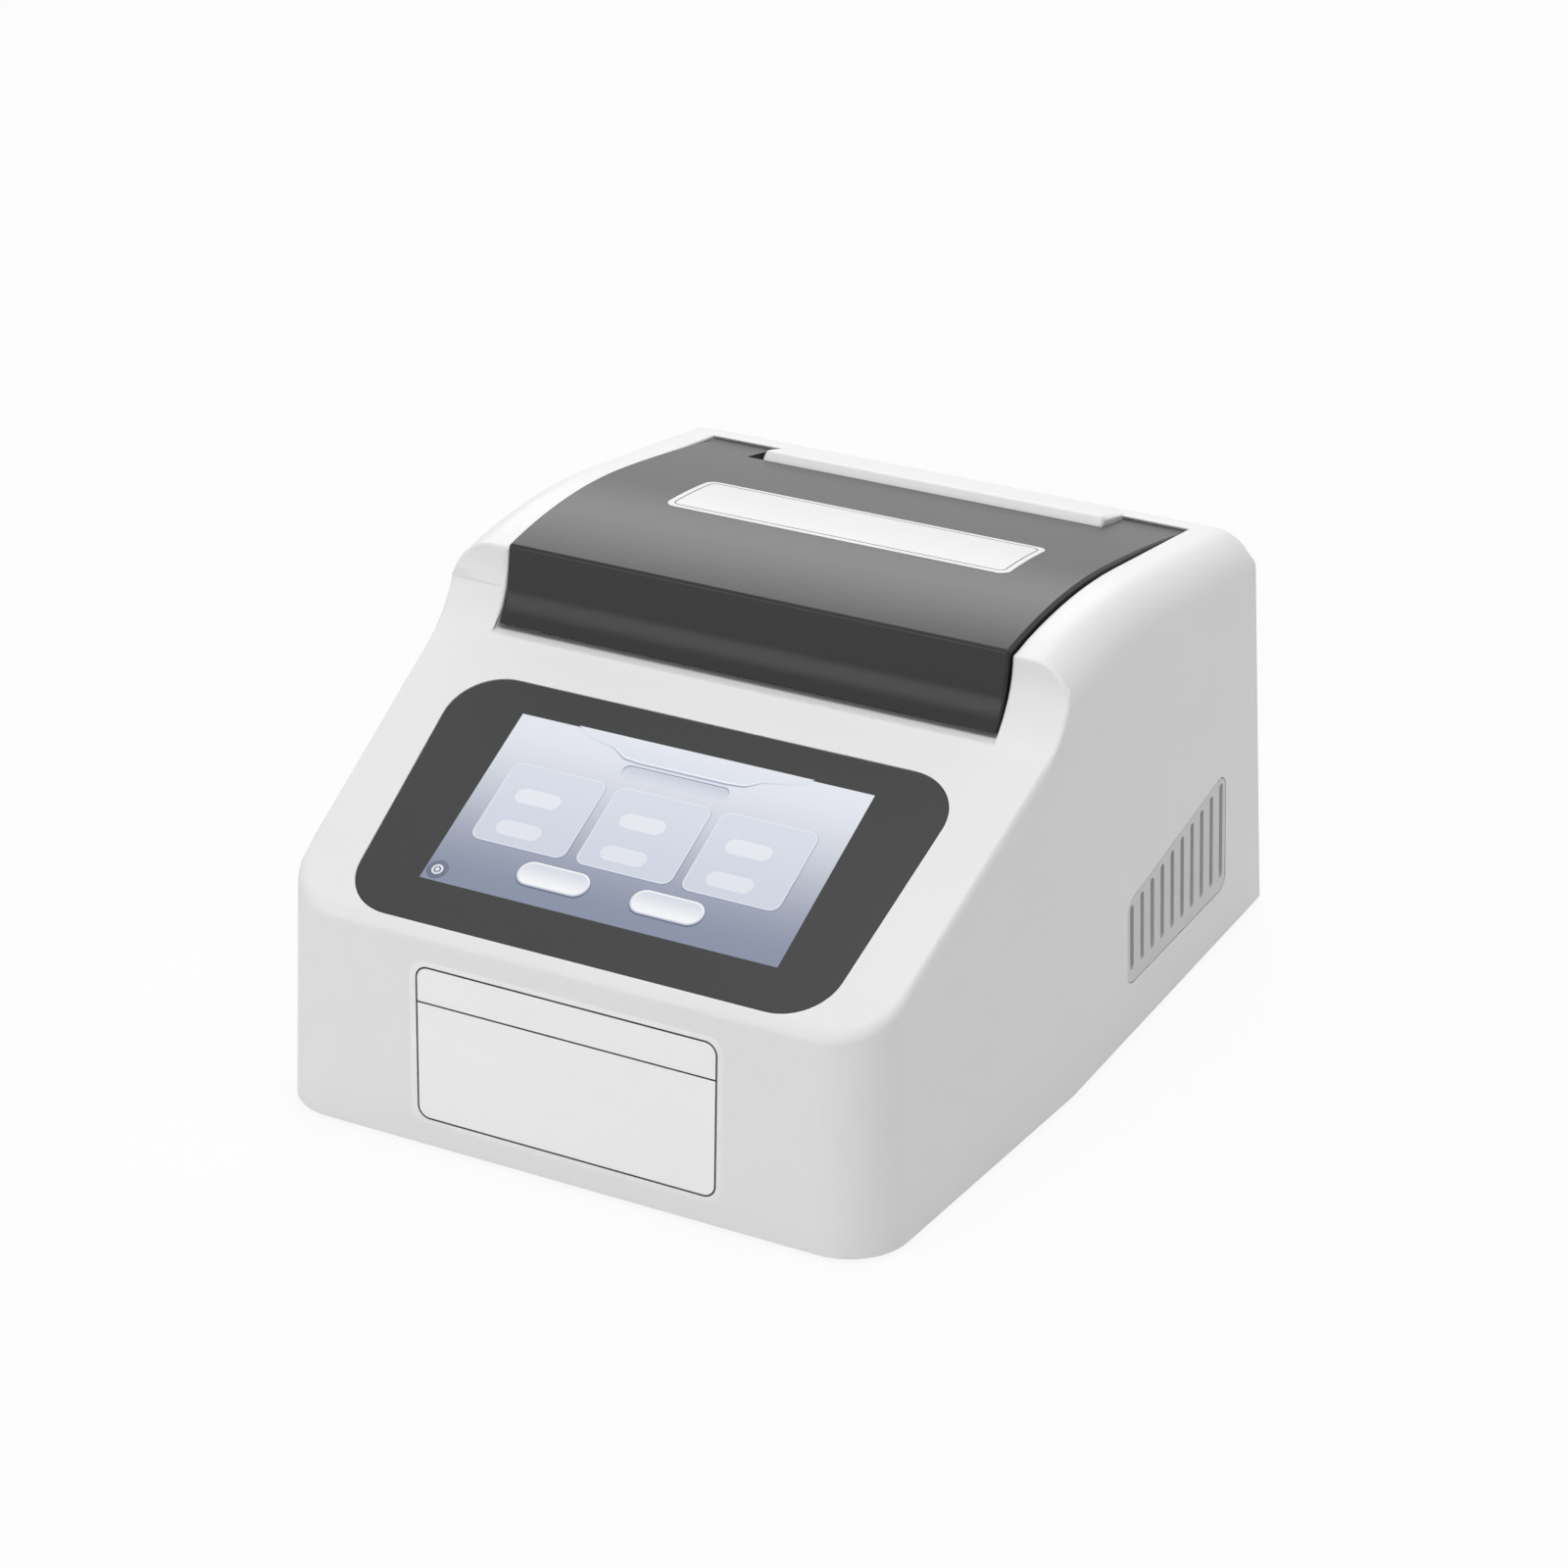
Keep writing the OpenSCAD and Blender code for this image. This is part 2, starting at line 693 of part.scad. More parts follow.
module display_panel() {
    color("lightsteelblue") in_frame() on_slope() translate([0, screen_mid, 0]) {
        translate([0, 0, -bezel_t - 0.2 - module_t / 2])
            cube([module_w, module_h, module_t], center = true);
        translate([0, 0, -bezel_t - 0.2]) linear_extrude(height = bezel_t - 0.2)
            square([screen_w, screen_h], center = true);
    }
}

// Sheet tray that holds the display module against the housing
module display_bracket() {
    sheet = 1.2;
    seat = -bezel_t - 4.6;
    back = -bezel_t - 0.2 - module_t;
    color("silver") in_frame() on_slope() translate([0, screen_mid, 0]) difference() {
        union() {
            translate([0, 0, seat - sheet]) linear_extrude(height = sheet)
                rounded_rect(module_w + 22, module_h + 10, 3);
            translate([0, 0, back - sheet]) linear_extrude(height = seat - back + sheet)
                square([module_w + 2.4 + 2 * sheet, module_h + 2.4 + 2 * sheet], center = true);
            for (sx = [-1, 1], sy = [-1, 1])
                translate([sx * 50, sy * 28, back - sheet - 5]) cylinder(r = 3, h = 5.5);
        }
        translate([0, 0, back]) linear_extrude(height = 20)
            square([module_w + 2.4, module_h + 2.4], center = true);
        translate([0, 0, back - 2 * sheet]) linear_extrude(height = 3 * sheet)
            rounded_rect(60, 30, 4);
    }
}

module display_board() {
    back = -bezel_t - 0.2 - module_t - 1.2 - 5;
    color("darkgreen") in_frame() on_slope() translate([0, screen_mid, back - 1.6]) {
        linear_extrude(height = 1.6) rounded_rect(116, 70, 2);
        translate([-14, -12, -2]) cube([22, 22, 2]);
        translate([24, 6, -3]) cube([12, 16, 3]);
        translate([-46, -30, -7]) cube([30, 9, 7]);
    }
}

// Half plane under the lid's domed top, drawn in by inset
module under_lid_top(inset) {
    intersection() {
        translate(lid_centre) circle(r = lid_arc_r - inset, $fn = 720);
        translate([lid_join_d - far, 100]) square([far, 200]);
    }
    intersection() {
        translate(lid_rear_centre) circle(r = lid_rear_arc_r - inset, $fn = 2400);
        translate([lid_join_d, 100]) square([120, 200]);
    }
}

// Side profile of the lid's shell
module lid_profile() {
    intersection() {
        under_lid_top(0);
        union() {
            polygon([[lid_foot_d, lid_bottom], [lid_knee_d, lid_knee_h], [lid_brow_d, lid_top_h - 3],
                [lid_brow_d, far], [hinge_d, far], [hinge_d, lid_bottom]]);
            corner_sliver([lid_knee_d, lid_knee_h],
                [lid_foot_d - lid_knee_d, lid_bottom - lid_knee_h],
                [lid_brow_d - lid_knee_d, lid_top_h - 3 - lid_knee_h], lid_knee_r);
            translate(hinge) circle(r = knuckle_r);
        }
    }
}

module lid_room_profile() {
    intersection() {
        under_lid_top(lid_wall);
        polygon([[lid_foot_d + lid_wall, lid_bottom - 1],
            [lid_knee_d + lid_wall, lid_knee_h], [lid_brow_d + lid_wall, lid_top_h],
            [lid_room_back, lid_top_h], [lid_room_back, lid_bottom - 1]]);
    }
}

module lid_cover() {
    inner = lid_w / 2 - lid_wall;
    color("#4a4a4c") in_frame() difference() {
        along_x(-lid_w / 2, lid_w / 2) lid_profile();
        along_x(-inner, inner) lid_room_profile();
        along_x(-notch_half_w, notch_half_w) {
            translate(hinge) circle(r = notch_r);
            translate([hinge_d - notch_r, lid_bottom - 20]) square([60, hinge_h - lid_bottom + 20]);
        }
        pin_x(hinge, hinge_pin_d / 2 + run_gap, -notch_half_w - 20, notch_half_w + 20);
    }
}

module lid_liner() {
    color("#3a3a3c") in_frame() translate([0, 0, lid_bottom]) linear_extrude(height = liner_t)
        difference() {
            translate([-liner_side, liner_front])
                square([2 * liner_side, lid_room_back - 0.4 - liner_front]);
            translate([0, chamber_d]) rounded_rect(heater_window_w, heater_window_l, 6);
        }
}

module lid_gasket() {
    g = seal_w + 1;
    color("#202022") in_frame() translate([0, chamber_d, deck_h + 0.3])
        linear_extrude(height = lid_lift - 0.3) difference() {
            rounded_rect(tub_w + 2 * g, tub_l + 2 * g, tub_r + g);
            rounded_rect(tub_w + 2, tub_l + 2, tub_r + 1);
        }
}

module lid_heater_plate() {
    color("silver") in_frame() translate([0, chamber_d, lid_bottom + liner_t])
        linear_extrude(height = lid_heater_t)
            rounded_rect(heater_window_w + 8, heater_window_l + 8, 8);
}

module lid_heater_mat() {
    color("darkorange") in_frame() translate([0, chamber_d, lid_bottom + liner_t + lid_heater_t])
        linear_extrude(height = lid_mat_t) rounded_rect(heater_window_w, heater_window_l, 6);
}

module lid_insulation() {
    low = lid_bottom + liner_t + lid_heater_t + lid_mat_t;
    color("khaki") in_frame() intersection() {
        along_x(-heater_window_w / 2, heater_window_w / 2) under_lid_top(lid_wall + 0.4);
        translate([-100, chamber_d - heater_window_l / 2, low]) cube([200, heater_window_l, 60]);
    }
}

// Steel shaft pressed into a lid knuckle
module hinge_shaft(from, to) {
    color("silver") in_frame() pin_x(hinge, hinge_pin_d / 2, from, to);
}

module hinge_shaft_left() {
    hinge_shaft(-notch_half_w - 20, -rail_left + wall + 21);
}

module hinge_shaft_right() {
    hinge_shaft(rail_right - wall - 21, notch_half_w + 20);
}

// Friction barrel that grips a hinge shaft, with a flange against the end wall of the rail
module hinge_barrel(face, turn) {
    color("gray") in_frame() translate([face, hinge_d, hinge_h]) rotate([0, turn * 90, 0]) difference() {
        union() {
            cylinder(r = hinge_pin_d / 2 + 3, h = 2.5);
            cylinder(r = hinge_pin_d / 2 + 2.5, h = 23);
        }
        translate([0, 0, -1]) cylinder(r = hinge_pin_d / 2 + run_gap, h = 26);
    }
}

module hinge_barrel_left() {
    hinge_barrel(-rail_left + wall, 1);
}

module hinge_barrel_right() {
    hinge_barrel(rail_right - wall, -1);
}

// Tray under the deck that encloses the heated platform
module chamber_tub() {
    top = deck_h - wall;
    lip = 5;
    color("gainsboro") in_frame() translate([0, chamber_d, 0]) difference() {
        union() {
            translate([0, 0, tub_floor_h]) linear_extrude(height = top - tub_floor_h)
                rounded_rect(tub_w + 2 * tub_t, tub_l + 2 * tub_t, tub_r + tub_t);
            translate([0, 0, top - tub_t]) linear_extrude(height = tub_t)
                rounded_rect(tub_w + 2 * (tub_t + lip), tub_l + 2 * (tub_t + lip), tub_r + tub_t + lip);
        }
        translate([0, 0, tub_floor_h + tub_t]) linear_extrude(height = 100)
            rounded_rect(tub_w, tub_l, tub_r);
        translate([0, 0, tub_floor_h - 1]) cylinder(r = hub_r + orbit_r + 2.5, h = 10);
        for (sx = [-1, 1], sy = [-1, 1])
            translate([sx * idler_x, sy * idler_y, tub_floor_h - 1])
                cylinder(r = idler_pin_d / 2 + 2 * orbit_r + 2, h = 10);
    }
}

hub_r = 16;
housing_r = 15;
drive_half_w = idler_x + 20;
drive_half_l = idler_y + 18;

// Aluminium plate that carries the motor, the crank and the idlers
module drive_plate() {
    color("silver") in_frame() translate([0, chamber_d, drive_plate_h])
        linear_extrude(height = drive_plate_t) difference() {
            rounded_rect(2 * drive_half_w, 2 * drive_half_l, 8);
            circle(r = housing_r + 0.1);
            translate([-belt_centres, 0]) circle(r = 8);
            for (sx = [-1, 1], sy = [-1, 1])
                translate([sx * (drive_half_w - 9), sy * (drive_half_l - 9)]) circle(r = 2.2);
        }
}

module standoffs() {
    color("goldenrod") in_frame() translate([0, chamber_d, pan_top])
        for (sx = [-1, 1], sy = [-1, 1])
            translate([sx * (drive_half_w - 9), sy * (drive_half_l - 9), 0]) {
                cylinder(r = 5.5, h = drive_plate_h - pan_top, $fn = 6);
                cylinder(r = 2, h = drive_plate_h - pan_top + drive_plate_t);
            }
}

bearing_low = drive_plate_h - 12;
bearing_high = deck_plate_top + 3 - bearing_w;

// Flanged housing for the crank's two ball bearings
module bearing_housing() {
    color("lightgray") in_frame() translate([0, chamber_d, 0]) difference() {
        union() {
            translate([0, 0, deck_plate_top]) cylinder(r = 26, h = 3);
            translate([0, 0, bearing_low]) cylinder(r = housing_r, h = deck_plate_top - bearing_low + 1);
        }
        translate([0, 0, bearing_low - 1]) cylinder(r = bearing_od / 2, h = bearing_w + 1);
        translate([0, 0, bearing_low]) cylinder(r = bearing_od / 2 - 2, h = 30);
        translate([0, 0, bearing_high]) cylinder(r = bearing_od / 2, h = bearing_w + 1);
    }
}

// Ball bearing with a recessed shield on both faces
module ball_bearing() {
    mid_r = (bearing_od / 2 + journal_d / 2) / 2;
    difference() {
        cylinder(r = bearing_od / 2, h = bearing_w);
        translate([0, 0, -1]) cylinder(r = journal_d / 2 + run_gap, h = bearing_w + 2);
        for (z = [-1, bearing_w - 0.5])
            translate([0, 0, z]) difference() {
                cylinder(r = mid_r + 1.3, h = 1.5);
                translate([0, 0, -1]) cylinder(r = mid_r - 1.3, h = 4);
            }
    }
}

module main_bearings() {
    color("lightslategray") in_frame() translate([0, chamber_d, 0]) {
        translate([0, 0, bearing_low]) ball_bearing();
        translate([0, 0, bearing_high]) ball_bearing();
    }
}

// Crank: a journal in the main bearings and an eccentric journal above its disc
module crank_shaft() {
    color("silver") in_frame() translate([0, chamber_d, 0]) {
        translate([0, 0, bearing_low - 2]) cylinder(d = journal_d, h = crank_disc_low - bearing_low + 2);
        translate([0, 0, crank_disc_low]) cylinder(r = 8, h = crank_disc_t);
        translate([orbit_r, 0, crank_disc_low + crank_disc_t])
            cylinder(d = journal_d, h = hub_low - crank_disc_low - crank_disc_t + bearing_w + 0.5);
    }
}

module counterweight() {
    color("darkgray") in_frame() translate([0, chamber_d, weight_low]) linear_extrude(height = weight_t)
        difference() {
            union() {
                circle(r = 9);
                intersection() {
                    circle(r = 32);
                    translate([-40, -40]) square([38, 80]);
                }
            }
            circle(d = journal_d);
        }
}

// Flanged pulley with a hub below it
module pulley(d, bore_d) {
    difference() {
        union() {
            cylinder(d = d, h = pulley_w);
            cylinder(r = d / 2 + flange_rise, h = flange_t);
            translate([0, 0, pulley_w - flange_t]) cylinder(r = d / 2 + flange_rise, h = flange_t);
        }
        translate([0, 0, -1]) cylinder(d = bore_d, h = pulley_w + 2);
        if (d > 40)
            for (i = [0:5])
                rotate([0, 0, 60 * i]) translate([d / 4 + 3, 0, -1]) cylinder(r = d / 10, h = pulley_w + 2);
    }
}

module driven_pulley() {
    color("dimgray") in_frame() translate([0, chamber_d, pulley_low]) pulley(driven_d, journal_d);
}

// Platform with the hub of the crank's eccentric journal and bores for the idler pins
module platform_plate() {
    color("silver") in_frame() translate([orbit_r, chamber_d, 0]) difference() {
        union() {
            translate([0, 0, platform_low]) linear_extrude(height = platform_t)
                rounded_rect(block_w - 6, block_l - 6, 6);
            translate([0, 0, hub_low]) cylinder(r = hub_r, h = platform_low - hub_low + 1);
        }
        translate([0, 0, hub_low - 1]) cylinder(d = bearing_od, h = bearing_w + 1);
        translate([0, 0, hub_low]) cylinder(r = 8, h = 10);
        for (sx = [-1, 1], sy = [-1, 1])
            translate([sx * idler_x, sy * idler_y, platform_low - 1])
                cylinder(r = idler_pin_d / 2 + 2 * run_gap, h = platform_t + 2);
    }
}

module platform_bearing() {
    color("lightslategray") in_frame() translate([orbit_r, chamber_d, hub_low]) ball_bearing();
}

module platform_insulation() {
    color("khaki") in_frame() translate([orbit_r, chamber_d, platform_low + platform_t])
        linear_extrude(height = insulation_t) difference() {
            rounded_rect(block_w - 6, block_l - 6, 6);
            for (sx = [-1, 1], sy = [-1, 1])
                translate([sx * idler_x, sy * idler_y]) circle(r = idler_pin_d / 2 + 1);
        }
}

module platform_heater() {
    color("darkorange") in_frame()
        translate([orbit_r, chamber_d, platform_low + platform_t + insulation_t])
            linear_extrude(height = heater_t) rounded_rect(block_w - 10, block_l - 10, 5);
}

// Heated block with a nest for each microplate and finger cut-outs in its walls
module heat_block() {
    pitch = nest_w + nest_rib;
    color("lightgray") in_frame() translate([orbit_r, chamber_d, 0]) difference() {
        translate([0, 0, block_low]) linear_extrude(height = nest_floor_t + nest_rise)
            rounded_rect(block_w, block_l, 3);
        for (sx = [-1, 1])
            translate([sx * pitch / 2, 0, nest_low]) linear_extrude(height = 20)
                rounded_rect(nest_w, nest_l, 1);
        for (x = [-pitch / 2, pitch / 2])
            translate([x, 0, nest_low + 20]) cube([30, block_l + 10, 40], center = true);
        translate([block_w / 2 - 22, 0, block_low + 6]) rotate([0, 90, 0])
            cylinder(r = 2 + run_gap, h = 30);
    }
}

module temperature_probe() {
    color("silver") in_frame() translate([orbit_r + block_w / 2 - 21.5, chamber_d, block_low + 6])
        rotate([0, 90, 0]) cylinder(r = 2, h = 22);
}

// Brushless motor hung under the drive plate
module drive_motor() {
    r = 21;
    body = 42;
    color("#303236") in_frame() translate([-belt_centres, chamber_d, 0]) difference() {
        union() {
            translate([0, 0, drive_plate_h - body]) cylinder(r = r, h = body - 3);
            translate([0, 0, drive_plate_h - 3]) cylinder(r = r - 1, h = 3);
            translate([0, 0, drive_plate_h - 1]) cylinder(r = 7.5, h = 4);
            translate([0, 0, drive_plate_h - body - 5]) cylinder(r = 9, h = 6);
        }
        translate([0, 0, drive_plate_h - 12]) cylinder(r = 2.5 + run_gap, h = 20);
        for (z = [10:5:30])
            translate([0, 0, drive_plate_h - body + z]) difference() {
                cylinder(r = r + 1, h = 1.5);
                translate([0, 0, -1]) cylinder(r = r - 1.2, h = 4);
            }
    }
}

module motor_shaft() {
    color("silver") in_frame() translate([-belt_centres, chamber_d, drive_plate_h - 11])
        cylinder(r = 2.5, h = pulley_low + pulley_w - drive_plate_h + 11.5);
}

module motor_pulley() {
    color("dimgray") in_frame() translate([-belt_centres, chamber_d, pulley_low])
        pulley(motor_pulley_d, 5);
}

// Outline of a belt round both pulleys, drawn out by extra
module belt_outline(extra) {
    ra = driven_d / 2 + extra;
    rb = motor_pulley_d / 2 + extra;
    tilt = acos((ra - rb) / belt_centres);
    circle(r = ra);
    translate([-belt_centres, 0]) circle(r = rb);
    polygon([
        ra * [-cos(tilt), sin(tilt)], [-belt_centres, 0] + rb * [-cos(tilt), sin(tilt)],
        [-belt_centres, 0] + rb * [-cos(tilt), -sin(tilt)], ra * [-cos(tilt), -sin(tilt)]
    ]);
}

module drive_belt() {
    color("#202020") in_frame() translate([0, chamber_d, pulley_low + flange_t + 0.4])
        linear_extrude(height = pulley_w - 2 * flange_t - 0.8) difference() {
            belt_outline(1.8);
            belt_outline(0.3);
        }
}

module idler_posts() {
    color("lightgray") in_frame() translate([0, chamber_d, deck_plate_top])
        for (sx = [-1, 1], sy = [-1, 1])
            translate([sx * idler_x, sy * idler_y, 0]) difference() {
                union() {
                    cylinder(r = 8, h = idler_post_top - deck_plate_top);
                    cylinder(r = 10, h = 3);
                }
                translate([0, 0, idler_post_top - deck_plate_top - 20])
                    cylinder(r = idler_pin_d / 2 + run_gap, h = 30);
            }
}

// Small crank that keeps the platform from turning as it orbits
module idler(sx, sy) {
    web = idler_post_top + 0.4;
    color("silver") in_frame() translate([sx * idler_x, chamber_d + sy * idler_y, 0]) {
        translate([0, 0, idler_post_top - 18]) cylinder(d = idler_pin_d, h = 19);
        translate([orbit_r / 2, 0, web]) cylinder(r = 7, h = idler_web_t);
        translate([orbit_r, 0, web]) cylinder(d = idler_pin_d, h = platform_low + platform_t - 1 - web);
    }
}

module idler_front_left() {
    idler(-1, -1);
}

module idler_front_right() {
    idler(1, -1);
}

module idler_rear_left() {
    idler(-1, 1);
}

module idler_rear_right() {
    idler(1, 1);
}

// Boxed power supply with a vented lid
module power_supply() {
    color("lightgray") in_frame() translate([psu_at.x, psu_at.y, pan_top]) difference() {
        cube(psu_size);
        translate([1.2, 1.2, 1.2]) cube([psu_size.x - 2.4, psu_size.y - 2.4, psu_size.z - 2.4]);
        for (i = [0:9])
            translate([14 + i * 8.5, 16, psu_size.z - 2]) cube([4, psu_size.y - 32, 4]);
    }
}

module main_board() {
    top = board_size.z;
    color("darkgreen") in_frame() translate([board_at.x, board_at.y, pan_top + board_rise]) {
        cube(board_size);
        translate([10, 60, top]) cube([30, 26, 4]);
        for (i = [0:5])
            translate([11 + i * 5, 60, top + 4]) cube([2.4, 26, 12]);
        translate([56, 50, top]) cube([22, 22, 2]);
        for (i = [0:3])
            translate([14 + i * 20, 4, top]) cube([16, 10, 10]);
        for (i = [0:2])
            translate([58 + i * 13, 84, top]) cylinder(r = 5, h = 14);
        translate([16, 28, top]) cube([12, 18, 3]);
    }
}

module board_spacers() {
    color("goldenrod") in_frame()
        for (fx = [0, 1], fy = [0, 1])
            translate([board_at.x + 5 + fx * (board_size.x - 10), board_at.y + 5 + fy * (board_size.y - 10),
                pan_top])
                cylinder(r = 3, h = board_rise, $fn = 6);
}

fan_back = panel_d - pan_t;

// Square fan frame with a hub on three struts
module fan_frame() {
    r = fan_w / 2 - 2;
    color("#28282a") in_frame() translate([fan_x, fan_back, fan_h]) rotate([90, 0, 0]) difference() {
        union() {
            linear_extrude(height = fan_t) difference() {
                rounded_rect(fan_w, fan_w, 4);
                circle(r = r);
                for (sx = [-1, 1], sy = [-1, 1])
                    translate([sx, sy] * (fan_w / 2 - 5)) circle(r = 2);
            }
            translate([0, 0, fan_t - 3]) linear_extrude(height = 3) {
                circle(r = 13);
                for (a = [30:120:270])
                    rotate(a) translate([0, -1.5]) square([r + 0.5, 3]);
            }
            translate([0, 0, 3]) cylinder(r = 1.5, h = fan_t - 4);
        }
    }
}

// Fan wheel: a hub with seven pitched blades
module fan_rotor() {
    tip = fan_w / 2 - 3;
    low = 1.5;
    deep = fan_t - 5;
    color("#303034") in_frame() translate([fan_x, fan_back, fan_h]) rotate([90, 0, 0]) difference() {
        translate([0, 0, low]) {
            cylinder(r = 12, h = deep);
            intersection() {
                for (i = [0:6])
                    rotate([0, 0, i * 360 / 7]) translate([tip / 2, 0, deep / 2])
                        rotate([38, 0, 0]) cube([tip, 12, 1.4], center = true);
                cylinder(r = tip, h = deep);
            }
        }
        translate([0, 0, low + 0.8]) cylinder(r = 1.5 + run_gap, h = fan_t);
    }
}

// Wire finger guard on the outside of the rear panel
module fan_guard() {
    wire = 1.8;
    color("silver") in_frame() translate([fan_x, panel_d, fan_h]) rotate([90, 0, 0])
        translate([0, 0, -wire]) linear_extrude(height = wire) {
            for (r = [7:7:28])
                difference() {
                    circle(r = r + wire / 2);
                    circle(r = r - wire / 2);
                }
            for (a = [45:90:315])
                rotate(a) translate([6.6, -wire / 2]) square([fan_w * 0.61 - 6.6, wire]);
            for (sx = [-1, 1], sy = [-1, 1])
                translate([sx, sy] * (fan_w / 2 - 5)) circle(r = 3.6);
        }
}

// Fused and switched mains inlet: flange, body and its three openings
module inlet_socket() {
    face = panel_d + inlet_flange_t;
    color("#1e1e20") in_frame() difference() {
        union() {
            along_y(panel_d, face) translate([inlet_x, inlet_h]) rounded_rect(inlet_w, inlet_flange_h, 3);
            translate([inlet_x - inlet_w / 2 + 2, face - inlet_depth, inlet_h - inlet_flange_h / 2 + 2])
                cube([inlet_w - 4, inlet_depth - inlet_flange_t + 1, inlet_flange_h - 4]);
        }
        along_y(face - socket_depth, face + 5) translate([inlet_x, socket_h]) socket_outline();
        along_y(face - drawer_l - 1.5, face + 5) translate([inlet_x, drawer_h])
            square([drawer_w + 2 * drawer_gap, drawer_tall + 2 * drawer_gap], center = true);
        along_y(face - 14, face + 5) translate([inlet_x, rocker_h])
            square([rocker_w + 2 * rocker_gap, 2 * (rocker_r + rocker_gap)], center = true);
    }
}

module socket_outline() {
    w = socket_w / 2;
    t = socket_tall / 2;
    polygon([[-w, -t], [w, -t], [w, t - 5], [w - 5, t], [5 - w, t], [-w, t - 5]]);
}

module inlet_pins() {
    low = panel_d + inlet_flange_t - socket_depth;
    color("silver") in_frame()
        for (p = [[-7, -1.5], [7, -1.5], [0, 2.5]])
            along_y(low, low + 14) translate([inlet_x + p.x, socket_h + p.y]) square([2, 4], center = true);
}

module fuse_drawer() {
    face = panel_d + inlet_flange_t;
    color("#2a2a2c") in_frame() difference() {
        union() {
            along_y(face - drawer_l, face + 0.4) translate([inlet_x, drawer_h])
                square([drawer_w, drawer_tall], center = true);
            along_y(face + 0.3, face + 1.8) translate([inlet_x, drawer_h])
                rounded_rect(drawer_w + 2, drawer_tall + 1, 1);
        }
        along_y(face + 0.8, face + 3) translate([inlet_x, drawer_h]) rounded_rect(8, 2.4, 1);
        along_y(face - drawer_l + 2, face - 2) for (sx = [-1, 1])
            translate([inlet_x + sx * 6.2, drawer_h + 3]) square([6, 6], center = true);
    }
}

// Rocker with two slanted faces, tilted to its on side
module power_rocker() {
    pivot_d = panel_d + inlet_flange_t - 3;
    rise = 3.6;
    color("#1a1a1c") in_frame() translate([inlet_x, pivot_d, rocker_h]) rotate([rocker_half_deg, 0, 0])
        along_x(-rocker_w / 2, rocker_w / 2) intersection() {
            circle(r = rocker_r);
            polygon([[-6, -20], [rise + tan(rocker_half_deg) * 20, -20], [rise, 0],
                [rise + tan(rocker_half_deg) * 20, 20], [-6, 20]]);
        }
}

upper_housing();
chassis_pan();
rubber_feet();
base_screws();
vent_grille_right();
vent_grille_left();
touch_bezel();
display_panel();
display_bracket();
display_board();
lid_cover();
lid_liner();
lid_gasket();
lid_heater_plate();
lid_heater_mat();
lid_insulation();
hinge_shaft_left();
hinge_shaft_right();
hinge_barrel_left();
hinge_barrel_right();
chamber_tub();
drive_plate();
standoffs();
bearing_housing();
main_bearings();
crank_shaft();
counterweight();
driven_pulley();
platform_plate();
platform_bearing();
platform_insulation();
platform_heater();
heat_block();
temperature_probe();
drive_motor();
motor_shaft();
motor_pulley();
drive_belt();
idler_posts();
idler_front_left();
idler_front_right();
idler_rear_left();
idler_rear_right();
power_supply();
main_board();
board_spacers();
fan_frame();
fan_rotor();
fan_guard();
inlet_socket();
inlet_pins();
fuse_drawer();
power_rocker();
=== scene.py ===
import json
import math

import bmesh
import bpy
from mathutils import Matrix, Vector


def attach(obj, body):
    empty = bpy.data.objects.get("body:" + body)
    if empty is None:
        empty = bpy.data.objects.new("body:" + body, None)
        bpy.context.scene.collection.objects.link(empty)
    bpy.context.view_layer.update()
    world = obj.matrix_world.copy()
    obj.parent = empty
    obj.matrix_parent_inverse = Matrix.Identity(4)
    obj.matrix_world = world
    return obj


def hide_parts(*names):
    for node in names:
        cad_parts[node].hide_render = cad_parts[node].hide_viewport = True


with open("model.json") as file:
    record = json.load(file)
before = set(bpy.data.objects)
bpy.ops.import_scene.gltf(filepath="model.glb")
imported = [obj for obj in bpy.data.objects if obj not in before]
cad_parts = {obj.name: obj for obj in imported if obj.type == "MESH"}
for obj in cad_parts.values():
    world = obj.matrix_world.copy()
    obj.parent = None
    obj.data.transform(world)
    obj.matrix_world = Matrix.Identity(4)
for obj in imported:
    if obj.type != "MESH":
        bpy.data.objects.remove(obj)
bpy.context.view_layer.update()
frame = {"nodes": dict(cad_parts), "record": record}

# Sizes are in millimetres from the foot of the front wall: x to the right, y to the rear, z up.
BODY_W = 286.0
BODY_D = 342.0
FRONT_W = 263.0
FLARE_D = 149.5
LEAN_TURN = math.radians(2.2)
LEAN = math.tan(LEAN_TURN)
FRONT_H = 90.5
SLOPE = math.radians(24.7)
WALL = 3.0
CORNER_R = 25.0
BEAD_R = 4.0
FOOT_R = 36.0
FOOT_DROP = 2.0
SHOULDER_D = 152.2
SHOULDER_LEAN = math.radians(5.0)
CROWN_H = 186.6
CROWN_PEAK_D = 200.0
CROWN_ARC_R = 300.0
CROWN_STRAIGHT_D = 245.0
CROWN_R = 18.0
REAR_EDGE_R = 5.0
WELL_HALF_W = 110.9
WELL_BACK = 321.06
DECK_H = 152.0
HINGE_D = 312.0
HINGE_H = 165.0
KNUCKLE_R = 10.9
RAIL_R = 15.4
RAIL_GAP = 1.2
RAIL_LEFT = 76.0
RAIL_RIGHT = 81.5
RAIL_RISE = 3.7
NOTCH_HALF_W = 82.2
LID_HALF_W = 110.2
LID_BOTTOM = 154.4
LID_WALL = 3.0
LID_FOOT_D = 141.0
LID_KNEE = (146.6, 161.5)
LID_KNEE_R = 22.0
LID_BROW_D = 150.5
LID_TOP_H = 188.9
LID_PEAK_D = 198.0
LID_ARC_R = 280.0
LID_REAR_ARC_R = 1000.0
LID_JOIN_D = 240.0
BEZEL_FROM = 4.6
BEZEL_LEN = 121.4
BEZEL_LOW_W = 205.0
